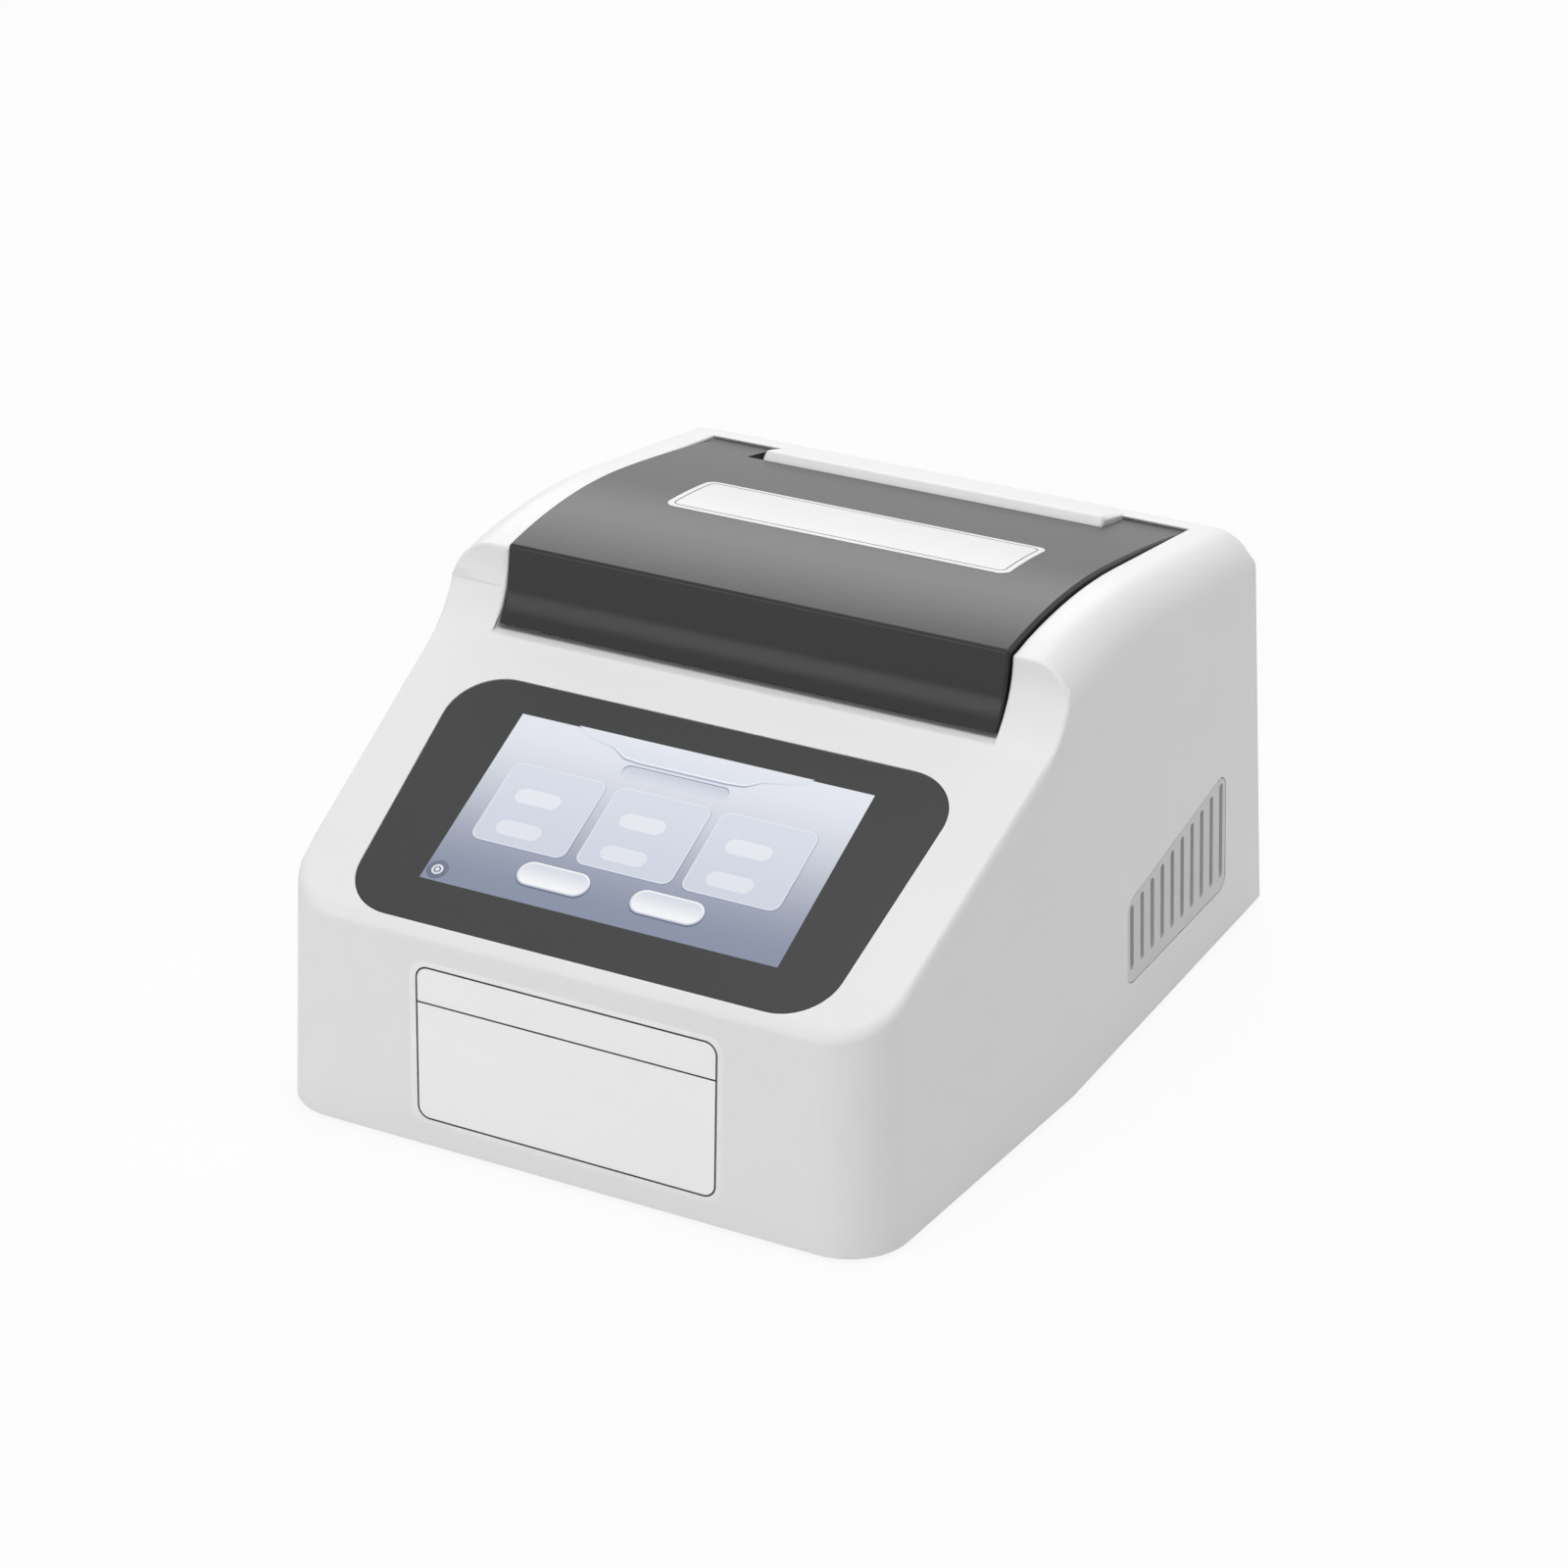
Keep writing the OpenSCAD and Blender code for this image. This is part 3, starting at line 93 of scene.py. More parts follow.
BEZEL_HIGH_W = 221.6
BEZEL_CORNER_R = 22.0
BEZEL_T = 2.0
SCREEN_W = 154.2
SCREEN_H = 85.9
SCREEN_MID = 67.8
MODULE_W = 165.0
MODULE_H = 100.0
CHAMBER_D = 218.5
TUB_W = 196.0
TUB_L = 139.0
TUB_R = 8.0
VENT_FROM = 203.0
VENT_LEN = 100.5
VENT_LOW = 22.5
VENT_FRONT_H = 37.0
VENT_REAR_H = 53.0
VENT_R = 6.0
SLOT_COUNT = 10
SLOT_PITCH = 10.1
SLOT_W = 3.5
SLOT_EDGE_R = 0.45
EAR_EDGE_R = 1.2
RAIL_END_R = 2.4
RIDGE_EDGE_R = 0.5
KNUCKLE_GAP = 0.6
HINGE_HOLE_R = 4.3
HINGE_HOLE_FROM = 70.0
HINGE_HOLE_TO = 86.0
LID_EDGE_R = 3.2
LID_RIM_R = 0.6
LID_PIN_R = 4.05
LID_PIN_REACH = 102.2
LID_END_TURN = math.radians(29.5)
REAR_OPENING_W = 224.0
REAR_OPENING_H = 110.0
REAR_OPENING_R = 6.0
REAR_OPENING_MID = 63.0

# The screen's places count to the right from the middle and up the slope from the ridge at its foot.
FILM_STEP = 0.03
CARD_W = 40.6
CARD_H = 38.6
CARD_R = 3.8
CARD_MID = 67.9
CARD_PLACES = (-47.2, -1.0, 44.9)
VALUE_W = 19.6
VALUE_H = 7.2
VALUE_SHIFT = -2.9
VALUE_ROWS = (56.3, 72.7)
BUTTON_W = 30.8
BUTTON_H = 11.4
BUTTON_MID = 38.4
BUTTON_PLACES = (-25.3, 24.0)
ICON_PLACE = (-72.1, 29.9)

# The labels' middles count to the right and up the front wall, or back along the lid.
FRONT_LABEL_MID = (-0.4, 44.0)
FRONT_LABEL_W = 136.2
FRONT_LABEL_H = 69.6
FRONT_RULE_H = 61.2
LID_LABEL_MID = (5.4, 227.4)
LID_LABEL_W = 153.4
LID_LABEL_L = 39.6

TO_ROW = Matrix.Translation((0, -BODY_D / 2000, FOOT_DROP / 1000)) @ Matrix.Diagonal((1e-3, 1e-3, 1e-3, 1))
RIDGE = Vector((LEAN * FRONT_H, FRONT_H))
SLOPE_FRAME = Matrix.Translation((0, RIDGE.x, RIDGE.y)) @ Matrix.Rotation(SLOPE, 4, "X")


# Shapes

def crown_z(y):
    """Height of the crown's ridge line: an arc that runs on straight to the rear."""
    arc_reach = CROWN_STRAIGHT_D - CROWN_PEAK_D
    fall = arc_reach / math.sqrt(CROWN_ARC_R ** 2 - arc_reach ** 2)
    reach = min(y, CROWN_STRAIGHT_D) - CROWN_PEAK_D
    top = CROWN_H - CROWN_ARC_R + math.sqrt(CROWN_ARC_R ** 2 - reach ** 2)
    return top - fall * max(0.0, y - CROWN_STRAIGHT_D)


def side_x(y, z):
    """Half the body's width: it widens up to the crease and leans in with height."""
    wide = FRONT_W / 2 + (BODY_W - FRONT_W) / 2 * min(y, FLARE_D) / FLARE_D
    return wide - LEAN * z


def meet(p, u, q, v):
    """Where the line through p along u meets the line through q along v."""
    return p + u * ((q - p).cross(v) / u.cross(v))


def arc_points(centre, r, start, end, count):
    """Points on a circle from one angle to another, both ends included."""
    turns = [start + (end - start) * i / count for i in range(count + 1)]
    return [centre + r * Vector((math.cos(a), math.sin(a))) for a in turns]


def rounded(points, r, count=8):
    """Corners of a flat outline turned into arcs; r is one radius or one for each corner."""
    out = []
    for i, p in enumerate(points):
        radius = r[i] if isinstance(r, (list, tuple)) else r
        a = (points[i - 1] - p).normalized()
        b = (points[(i + 1) % len(points)] - p).normalized()
        if radius <= 0:
            out.append(p)
            continue
        half = a.angle(b) / 2
        centre = p + (a + b).normalized() * (radius / math.sin(half))
        first = p + a * (radius / math.tan(half)) - centre
        last = p + b * (radius / math.tan(half)) - centre
        sweep = first.angle_signed(last)
        for k in range(count + 1):
            turn = -sweep * k / count
            out.append(centre + Matrix.Rotation(turn, 2) @ first)
    return out


def rectangle(w, h, r=0.0, centre=(0, 0), count=6):
    c = Vector(centre)
    corners = [c + Vector(s) for s in ((-w / 2, -h / 2), (w / 2, -h / 2), (w / 2, h / 2), (-w / 2, h / 2))]
    return rounded(corners, r, count) if r else corners


def outline_face(bm, points):
    verts = [bm.verts.new(p) for p in points]
    return bm.faces.new(verts)


def extrude_outline(bm, points, shift):
    """Closed solid: the flat outline, given as 3D points, carried along shift."""
    face = outline_face(bm, points)
    made = bmesh.ops.extrude_face_region(bm, geom=[face])
    top = [v for v in made["geom"] if isinstance(v, bmesh.types.BMVert)]
    bmesh.ops.translate(bm, verts=top, vec=Vector(shift))
    bmesh.ops.recalc_face_normals(bm, faces=bm.faces[:])
    return top


def across(profile, x0, x1):
    """A side profile of (y, z) points carried across the body."""
    bm = bmesh.new()
    extrude_outline(bm, [(x0, p[0], p[1]) for p in profile], (x1 - x0, 0, 0))
    return bm


def upright(outline, z0, z1):
    """A plan outline of (x, y) points carried up."""
    bm = bmesh.new()
    extrude_outline(bm, [(p[0], p[1], z0) for p in outline], (0, 0, z1 - z0))
    return bm


def lying(outline, y0, y1):
    """A rear view outline of (x, z) points carried back."""
    bm = bmesh.new()
    extrude_outline(bm, [(p[0], y0, p[1]) for p in outline], (0, y1 - y0, 0))
    return bm


def on_slope(outline, w0, w1):
    """An outline on the control slope, y up the slope, carried from depth w0 to height w1."""
    bm = upright(outline, w0, w1)
    bmesh.ops.transform(bm, matrix=SLOPE_FRAME, verts=bm.verts[:])
    return bm


def soften(bm, pick, width, segments=3):
    """Rounds the edges that pick accepts."""
    edges = [e for e in bm.edges if pick(e)]
    if edges:
        bmesh.ops.bevel(bm, geom=edges, offset=width, offset_type="OFFSET", affect="EDGES", segments=segments,
                        profile=0.5, material=-1, clamp_overlap=True)


def sharp(angle):
    """A test for edges that turn by more than this many degrees."""
    limit = math.radians(angle)
    return lambda e: e.is_manifold and e.calc_face_angle() > limit


def rough_object(bm, name="cutter"):
    mesh = bpy.data.meshes.new(name)
    bm.to_mesh(mesh)
    bm.free()
    made = bpy.data.objects.new(name, mesh)
    bpy.context.scene.collection.objects.link(made)
    return made


def applied(obj):
    """The object's mesh with its modifiers, as a bmesh."""
    bpy.context.view_layer.update()
    seen = obj.evaluated_get(bpy.context.evaluated_depsgraph_get())
    bm = bmesh.new()
    bm.from_mesh(seen.to_mesh())
    seen.to_mesh_clear()
    return bm


def discard(obj):
    """Takes a helper object out of the scene again."""
    mesh = obj.data
    bpy.data.objects.remove(obj)
    bpy.data.meshes.remove(mesh)


def combine(bm, steps):
    """Boolean steps, each (operation, bmesh), run one after another."""
    body = rough_object(bm, "body")
    tools = []
    for operation, tool in steps:
        cutter = rough_object(tool)
        tools.append(cutter)
        step = body.modifiers.new("step", "BOOLEAN")
        step.operation = operation
        step.object = cutter
        step.solver = "EXACT"
    out = applied(body)
    for o in [body] + tools:
        discard(o)
    bmesh.ops.remove_doubles(out, verts=out.verts[:], dist=1e-3)
    return out


def modified(bm, kind, **settings):
    """The bmesh after one modifier."""
    obj = rough_object(bm, "body")
    mod = obj.modifiers.new("finish", kind)
    for key, value in settings.items():
        setattr(mod, key, value)
    out = applied(obj)
    discard(obj)
    return out


def piece(name, bm, material, body="base", stands_for=(), crease=35):
    """A finished piece: millimetres become the row's metres, and it rides on its body."""
    bmesh.ops.transform(bm, matrix=TO_ROW, verts=bm.verts[:])
    for f in bm.faces:
        f.smooth = True
    mesh = bpy.data.meshes.new(name)
    bm.to_mesh(mesh)
    bm.free()
    mesh.set_sharp_from_angle(angle=math.radians(crease))
    obj = bpy.data.objects.new(name, mesh)
    bpy.context.scene.collection.objects.link(obj)
    mesh.materials.append(material)
    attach(obj, body)
    if stands_for:
        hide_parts(*stands_for)
    return obj


def weighted(obj):
    """Shading that follows the large faces and keeps the sharp edges."""
    mod = obj.modifiers.new("normals", "WEIGHTED_NORMAL")
    mod.keep_sharp = True
    mod.weight = 60
    return obj


# Materials

def new_material(name):
    mat = bpy.data.materials.new(name)
    mat.use_nodes = True
    tree = mat.node_tree
    shader = tree.nodes["Principled BSDF"]
    return mat, tree, shader


def noise(tree, scale, detail=3.0, stretch=(1, 1, 1)):
    """Noise on the piece's own coordinates, with scale in features per metre."""
    coords = tree.nodes.new("ShaderNodeTexCoord")
    place = tree.nodes.new("ShaderNodeMapping")
    place.inputs["Scale"].default_value = stretch
    grain = tree.nodes.new("ShaderNodeTexNoise")
    grain.inputs["Scale"].default_value = scale
    grain.inputs["Detail"].default_value = detail
    tree.links.new(coords.outputs["Object"], place.inputs["Vector"])
    tree.links.new(place.outputs["Vector"], grain.inputs["Vector"])
    return grain


def spread(tree, source, low, high):
    """Maps the middle of a noise to a range."""
    ramp = tree.nodes.new("ShaderNodeMapRange")
    ramp.inputs["From Min"].default_value = 0.3
    ramp.inputs["From Max"].default_value = 0.7
    ramp.inputs["To Min"].default_value = low
    ramp.inputs["To Max"].default_value = high
    tree.links.new(source.outputs["Fac"], ramp.inputs["Value"])
    return ramp.outputs["Result"]


def tint(tree, source, dark, light):
    ramp = tree.nodes.new("ShaderNodeValToRGB")
    ramp.color_ramp.elements[0].position = 0.3
    ramp.color_ramp.elements[0].color = (*dark, 1)
    ramp.color_ramp.elements[1].position = 0.7
    ramp.color_ramp.elements[1].color = (*light, 1)
    tree.links.new(source.outputs["Fac"], ramp.inputs["Fac"])
    return ramp.outputs["Color"]


def bump(tree, shader, source, height, strength=1.0):
    node = tree.nodes.new("ShaderNodeBump")
    node.inputs["Distance"].default_value = height
    node.inputs["Strength"].default_value = strength
    tree.links.new(source.outputs["Fac"], node.inputs["Height"])
    tree.links.new(node.outputs["Normal"], shader.inputs["Normal"])


def finish_material(name, colour, rough, metal=0.0, mottling=0.03, grain=2500, grain_height=1e-5,
                    rough_play=0.05, stretch=(1, 1, 1), coat=0.0, ior=1.46):
    """A plain finish: its colour mottled a little, its gloss and its surface finely grained."""
    mat, tree, shader = new_material(name)
    broad = noise(tree, 30, 2)
    dark = tuple(c * (1 - mottling) for c in colour)
    light = tuple(min(1, c * (1 + mottling)) for c in colour)
    tree.links.new(tint(tree, broad, dark, light), shader.inputs["Base Color"])
    fine = noise(tree, grain, 2, stretch)
    tree.links.new(spread(tree, fine, rough - rough_play, rough + rough_play), shader.inputs["Roughness"])
    bump(tree, shader, fine, grain_height)
    shader.inputs["Metallic"].default_value = metal
    shader.inputs["IOR"].default_value = ior
    if coat:
        shader.inputs["Coat Weight"].default_value = coat
        shader.inputs["Coat Roughness"].default_value = 0.2
    return mat


SHELL = finish_material("shell_white_satin", (0.83, 0.83, 0.835), 0.42, mottling=0.006, grain=2200,
                        grain_height=6e-6)
LID = finish_material("lid_grey_satin", (0.017, 0.017, 0.0175), 0.32, mottling=0.02, grain=3000,
                      grain_height=1.5e-6, ior=1.38)
GLASS_GREY = finish_material("panel_grey", (0.030, 0.030, 0.031), 0.42, mottling=0.02, grain=4000,
                             grain_height=2e-6, ior=1.4)
SHEET = finish_material("sheet_powder", (0.50, 0.52, 0.53), 0.5, mottling=0.03, grain=1500, grain_height=2e-5)
ZINC = finish_material("zinc_plate", (0.60, 0.61, 0.62), 0.33, metal=1.0, mottling=0.08, grain=900,
                       grain_height=2e-6)
STEEL = finish_material("ground_steel", (0.66, 0.66, 0.67), 0.18, metal=1.0, mottling=0.04, grain=2500,
                        grain_height=1e-6, stretch=(1, 1, 12))
ALUMINIUM = finish_material("machined_aluminium", (0.78, 0.79, 0.80), 0.36, metal=1.0, mottling=0.03,
                            grain=3500, grain_height=4e-6)
RUBBER = finish_material("foot_rubber", (0.02, 0.02, 0.02), 0.8, mottling=0.15, grain=1800, grain_height=2e-5)
SEAL = finish_material("seal_silicone", (0.035, 0.035, 0.037), 0.6, mottling=0.1, grain=1500,
                       grain_height=8e-6)
SILICONE = finish_material("heater_silicone", (0.55, 0.16, 0.03), 0.55, mottling=0.08, grain=1200,
                           grain_height=2e-5)
FOAM = finish_material("foam", (0.72, 0.69, 0.55), 0.9, mottling=0.1, grain=900, grain_height=1.5e-4)
TUB = finish_material("tub_plastic", (0.60, 0.61, 0.62), 0.45, mottling=0.02, grain=2000, grain_height=1e-5)
CIRCUIT = finish_material("circuit_green", (0.01, 0.12, 0.05), 0.35, mottling=0.25, grain=700,
                          grain_height=3e-5, coat=0.4)
BRASS = finish_material("turned_brass", (0.70, 0.50, 0.22), 0.28, metal=1.0, mottling=0.06, grain=2500,
                        grain_height=1e-6)
BLACK = finish_material("moulded_black", (0.018, 0.018, 0.019), 0.38, mottling=0.1, grain=2500,
                        grain_height=8e-6)
ENAMEL = finish_material("motor_enamel", (0.03, 0.03, 0.033), 0.35, mottling=0.1, grain=1500,
                         grain_height=6e-6)
GRILLE = finish_material("grille_grey", (0.66, 0.66, 0.67), 0.45, mottling=0.01, grain=2200,
                         grain_height=8e-6)

SLOT_MATERIALS = {
    "shell_white": SHELL, "lid_grey": LID, "glass_grey": GLASS_GREY, "screen": GLASS_GREY, "sheet_steel": SHEET,
    "zinc_steel": ZINC, "ground_steel": STEEL, "plain_aluminium": ALUMINIUM, "foot_rubber": RUBBER,
    "seal_rubber": SEAL, "heater_silicone": SILICONE, "foam": FOAM, "tub_white": TUB, "circuit_green": CIRCUIT,
    "spacer_brass": BRASS, "black_plastic": BLACK, "motor_black": ENAMEL, "grille_grey": GRILLE,
}
slot_of = {s["node"]: s["material_slot"] for s in frame["record"]["subparts"]}
for node, obj in frame["nodes"].items():
    obj.data.materials.clear()
    obj.data.materials.append(SLOT_MATERIALS[slot_of[node]])


# Housing

def body_section(top, inset=0.0):
    """Rear view of the body under a crown of this height, long edges rounded."""
    r = CROWN_R - inset
    high = top - inset
    cx = side_x(FLARE_D, high - r) - inset - r
    corner = arc_points(Vector((cx, high - r)), r, 0, math.pi / 2, 12)
    right = [Vector((side_x(FLARE_D, -10) - inset, -10))] + corner
    return right + [Vector((-p.x, p.y)) for p in reversed(right)]


def body_tunnel(inset=0.0):
    """The body without its front slope: one section carried back under the crown, widening to the crease."""
    front_top = crown_z(SHOULDER_D)
    bm = bmesh.new()
    start = outline_face(bm, [(p.x, -20, p.y) for p in body_section(front_top, inset)])
    narrow = (BODY_W - FRONT_W) / 2 * (1 + 20 / FLARE_D)
    for v in bm.verts:
        v.co.x -= math.copysign(narrow, v.co.x)
    region = [start]
    last_top = front_top
    for y in [FLARE_D, SHOULDER_D + 2] + [165 + 10 * i for i in range(9)] + [360]:
        made = bmesh.ops.extrude_face_region(bm, geom=region)["geom"]
        if region[0] is not start:
            bmesh.ops.delete(bm, geom=region, context="FACES_ONLY")
        verts = [g for g in made if isinstance(g, bmesh.types.BMVert)]
        region = [g for g in made if isinstance(g, bmesh.types.BMFace)]
        top = crown_z(y) if y > SHOULDER_D + 2 else front_top
        for v in verts:
            v.co.y = y
            if y == FLARE_D:
                v.co.x += math.copysign(narrow, v.co.x)
            if v.co.z > 50:
                v.co.z += top - last_top
                v.co.x -= math.copysign(LEAN * (top - last_top), v.co.x)
        last_top = top
    bmesh.ops.recalc_face_normals(bm, faces=bm.faces[:])
    return bm


def body_profile(inset=0.0):
    """Side view: front wall, control slope, concave foot, shoulder face and rear wall."""
    front = (Vector((LEAN, 1)).normalized(), Vector((0, 0)))
    slope = (Vector((math.cos(SLOPE), math.sin(SLOPE))), RIDGE)
    shoulder = (Vector((math.sin(SHOULDER_LEAN), math.cos(SHOULDER_LEAN))),
                Vector((SHOULDER_D, crown_z(SHOULDER_D))))
    rear = (Vector((-LEAN, 1)).normalized(), Vector((BODY_D, 0)))
    sides = []
    for way, through in (front, slope, shoulder):
        sides.append((way, through + Vector((way.y, -way.x)) * inset))
    sides.append((rear[0], rear[1] + Vector((-rear[0].y, rear[0].x)) * inset))
    low, high = (Vector((1, 0)), Vector((0, -2 * inset))), (Vector((1, 0)), Vector((0, 230)))
    line = [low] + sides[:3] + [high, sides[3]]
    corners = [meet(line[i][1], line[i][0], line[(i + 1) % 6][1], line[(i + 1) % 6][0]) for i in range(6)]
    return rounded(corners, [0, 0, FOOT_R + inset, 0, 0, 0], 9)


def rail_profile(inset=0.0, low=DECK_H - 2):
    """Side view of the rail that covers the hinge."""
    nose = Vector((HINGE_D - 8.5, crown_z(HINGE_D - 8.5) + RAIL_RISE))
    tail_y = BODY_D - LEAN * crown_z(BODY_D) - REAR_EDGE_R
    tail = Vector((tail_y, crown_z(tail_y) - 0.5))
    along = (tail - nose).normalized()
    under = Vector((along.y, -along.x)) * inset
    r = RAIL_R - inset
    centre = Vector((HINGE_D, HINGE_H))
    foot = nose + under - centre
    away = foot - along * foot.dot(along)
    reach = math.sqrt(max(0.0, r * r - away.length_squared))
    first = away - along * reach
    front = arc_points(centre, r, math.pi, math.atan2(first.y, first.x), 12)
    back = tail + under - along * (inset * 3)
    return [Vector((HINGE_D - r, low))] + front + [back, Vector((back.x, low))]


def body_form(inset=0.0):
    """The closed body: its side view cut from the tunnel, with the two upright front corners rounded."""
    bm = combine(across(body_profile(inset), -160, 160), [("INTERSECT", body_tunnel(inset))])
    bmesh.ops.dissolve_limit(bm, angle_limit=math.radians(0.3), verts=bm.verts[:], edges=bm.edges[:])
    soften(bm, lambda e: all(abs(v.co.x) > 120 and v.co.y < 9 for v in e.verts)
           and abs(e.verts[0].co.z - e.verts[1].co.z) > 60, (CORNER_R - inset) * 0.93, 14)
    return bm


def lid_well(grow=0.0):
    low, high = DECK_H - grow, WELL_BACK + grow
    profile = [Vector((100, low)), Vector((high, low)), Vector((high, 300)), Vector((100, 300))]
    return across(profile, -WELL_HALF_W - grow, WELL_HALF_W + grow)


def full_circle(r, count):
    """A circle about the hinge line, seen from the side."""
    return arc_points(Vector((HINGE_D, HINGE_H)), r, 0, 2 * math.pi * (count - 1) / count, count - 1)


def ear_pocket(sign):
    """Room for a lid knuckle behind the well."""
    circle = full_circle(KNUCKLE_R + KNUCKLE_GAP, 48)
    inner = (RAIL_RIGHT if sign > 0 else RAIL_LEFT) * sign
    low, high = sorted((inner, sign * WELL_HALF_W))
    return across(circle, low, high)


def hinge_hole(sign):
    """The bore of a hinge shaft in the rail's end."""
    low, high = sorted((sign * HINGE_HOLE_FROM, sign * HINGE_HOLE_TO))
    return across(full_circle(HINGE_HOLE_R, 32), low, high)


def body_room():
    """The hollow under the body's wall; the walls of the well stay in it."""
    well_wall = combine(lid_well(WALL), [("DIFFERENCE", across(rail_profile(WALL, 100), WALL - RAIL_LEFT,
                                                               RAIL_RIGHT - WALL))])
    return combine(body_form(WALL), [("DIFFERENCE", well_wall)])


def bead_width(e):
    """How far an outer edge is rounded: most along the slope, less up the ears, least where the well begins."""
    a, b = (v.co for v in e.verts)
    mid = (a + b) / 2
    turn = e.calc_face_angle_signed(0)
    if not e.is_manifold or turn < math.radians(22) or mid.z < 1:
        return 0
    if abs(a.x - b.x) > 100 and abs(mid.z - DECK_H) < 4 and mid.y > 120:
        return RIDGE_EDGE_R
    if mid.y < SHOULDER_D + 1:
        return min(BEAD_R, max(EAR_EDGE_R, BEAD_R - 0.28 * (mid.z - DECK_H + 6)))
    if mid.z < DECK_H + 6:
        return 0
    at_rail_end = min(abs(a.x + RAIL_LEFT), abs(a.x - RAIL_RIGHT)) < 0.2 and abs(a.x - b.x) < 0.2
    if at_rail_end and mid.y < WELL_BACK - 1:
        return RAIL_END_R
    if mid.y > WELL_BACK + 1:
        share = (mid.z - crown_z(mid.y) + CROWN_R) / CROWN_R
        runs_back = abs(a.y - b.y) >= 3
        return EAR_EDGE_R + (0 if runs_back else (REAR_EDGE_R - EAR_EDGE_R) * min(1, max(0, share)))
    return EAR_EDGE_R


def housing():
    bm = combine(body_form(), [
        ("DIFFERENCE", lid_well()), ("DIFFERENCE", ear_pocket(-1)), ("DIFFERENCE", ear_pocket(1)),
        ("UNION", across(rail_profile(), -RAIL_LEFT, RAIL_RIGHT)),
    ])
    bmesh.ops.dissolve_limit(bm, angle_limit=math.radians(0.3), verts=bm.verts[:], edges=bm.edges[:])
    bmesh.ops.remove_doubles(bm, verts=bm.verts[:], dist=0.8)
    bm.normal_update()
    weight = bm.edges.layers.float.new("bevel_weight_edge")
    for e in bm.edges:
        e[weight] = bead_width(e) / REAR_EDGE_R
    bm = modified(bm, "BEVEL", limit_method="WEIGHT", width=REAR_EDGE_R, segments=4, profile=0.5,
                  use_clamp_overlap=False, miter_outer="MITER_SHARP")
    screen = rectangle(MODULE_W + 0.8, MODULE_H + 0.8, 0, (0, SCREEN_MID))
    rear_opening = rectangle(REAR_OPENING_W, REAR_OPENING_H, REAR_OPENING_R, (0, REAR_OPENING_MID))
    cuts = [
        ("DIFFERENCE", body_room()),
        ("DIFFERENCE", upright(rectangle(TUB_W, TUB_L, TUB_R, (0, CHAMBER_D)), DECK_H - 5, DECK_H + 3)),
        ("DIFFERENCE", on_slope(screen, -14, 5)),
        ("DIFFERENCE", on_slope(bezel_outline(0.3), -BEZEL_T - 0.2, 8)),
        ("DIFFERENCE", lying(rear_opening, BODY_D - 12, BODY_D + 5)),
    ]
    for sign in (-1, 1):
        cuts.append(("DIFFERENCE", across(vent_outline(0.25), *sorted((sign * 128, sign * 150)))))
        cuts.append(("DIFFERENCE", hinge_hole(sign)))
    bm = combine(bm, cuts)
    return weighted(piece("housing_shell", bm, SHELL, "base", ["upper_housing"], crease=30))


def bezel_outline(gap):
    low, high = BEZEL_LOW_W / 2 + gap, BEZEL_HIGH_W / 2 + gap
    y0, y1 = BEZEL_FROM - gap, BEZEL_FROM + BEZEL_LEN + gap
    corners = [Vector((-low, y0)), Vector((low, y0)), Vector((high, y1)), Vector((-high, y1))]
    return rounded(corners, BEZEL_CORNER_R + gap, 14)


def vent_outline(gap):
    """The slanted outline of a side vent, drawn out by gap."""
    near, end = VENT_FROM - gap, VENT_FROM + VENT_LEN + gap
    corners = [Vector((near, VENT_LOW - gap)), Vector((end, VENT_LOW - gap)),
               Vector((end, VENT_LOW + VENT_REAR_H + gap)), Vector((near, VENT_LOW + VENT_FRONT_H + gap))]
    return rounded(corners, VENT_R + gap, 8)


housing()


# Lid

LID_ARC = Vector((LID_PEAK_D, LID_TOP_H - LID_ARC_R))
LID_JOIN = Vector((LID_JOIN_D, LID_ARC.y + math.sqrt(LID_ARC_R ** 2 - (LID_JOIN_D - LID_ARC.x) ** 2)))
LID_REAR_ARC = LID_JOIN - (LID_JOIN - LID_ARC).normalized() * LID_REAR_ARC_R


def lid_top(y, inset=0.0):
    centre, r = (LID_ARC, LID_ARC_R) if y < LID_JOIN_D else (LID_REAR_ARC, LID_REAR_ARC_R)
    return centre.y + math.sqrt((r - inset) ** 2 - (y - centre.x) ** 2)


def lid_crown_line(y0, y1, inset=0.0, count=22):
    steps = [y0 + (y1 - y0) * i / count for i in range(count + 1)]
    return [Vector((y, lid_top(y, inset))) for y in steps]


def lid_profile():
    """Side view of the lid: leaning foot, concave knee, domed top and the round of its knuckles."""
    brow = Vector((LID_BROW_D, lid_top(LID_BROW_D)))
    front = [Vector((LID_FOOT_D, LID_BOTTOM)), Vector(LID_KNEE), brow]
    front = rounded(front, [0, LID_KNEE_R, 0], 10)
    end = HINGE_D + KNUCKLE_R * math.cos(LID_END_TURN)
    low_turn = math.acos((HINGE_H - LID_BOTTOM) / KNUCKLE_R) - math.pi / 2
    knuckle = arc_points(Vector((HINGE_D, HINGE_H)), KNUCKLE_R, LID_END_TURN, low_turn, 14)
    return front + lid_crown_line(LID_BROW_D, end, 0.0, 26)[1:-1] + knuckle


def lid_room():
    """The hollow under the lid's top."""
    line = lid_crown_line(LID_BROW_D + LID_WALL, HINGE_D - RAIL_R - RAIL_GAP - 2.6, LID_WALL, 20)
    front = [Vector((LID_FOOT_D + LID_WALL, LID_BOTTOM - 4)), Vector((LID_KNEE[0] + LID_WALL, LID_KNEE[1]))]
    inner = LID_HALF_W - LID_WALL
    return across(front + line + [Vector((line[-1].x, LID_BOTTOM - 4))], -inner, inner)


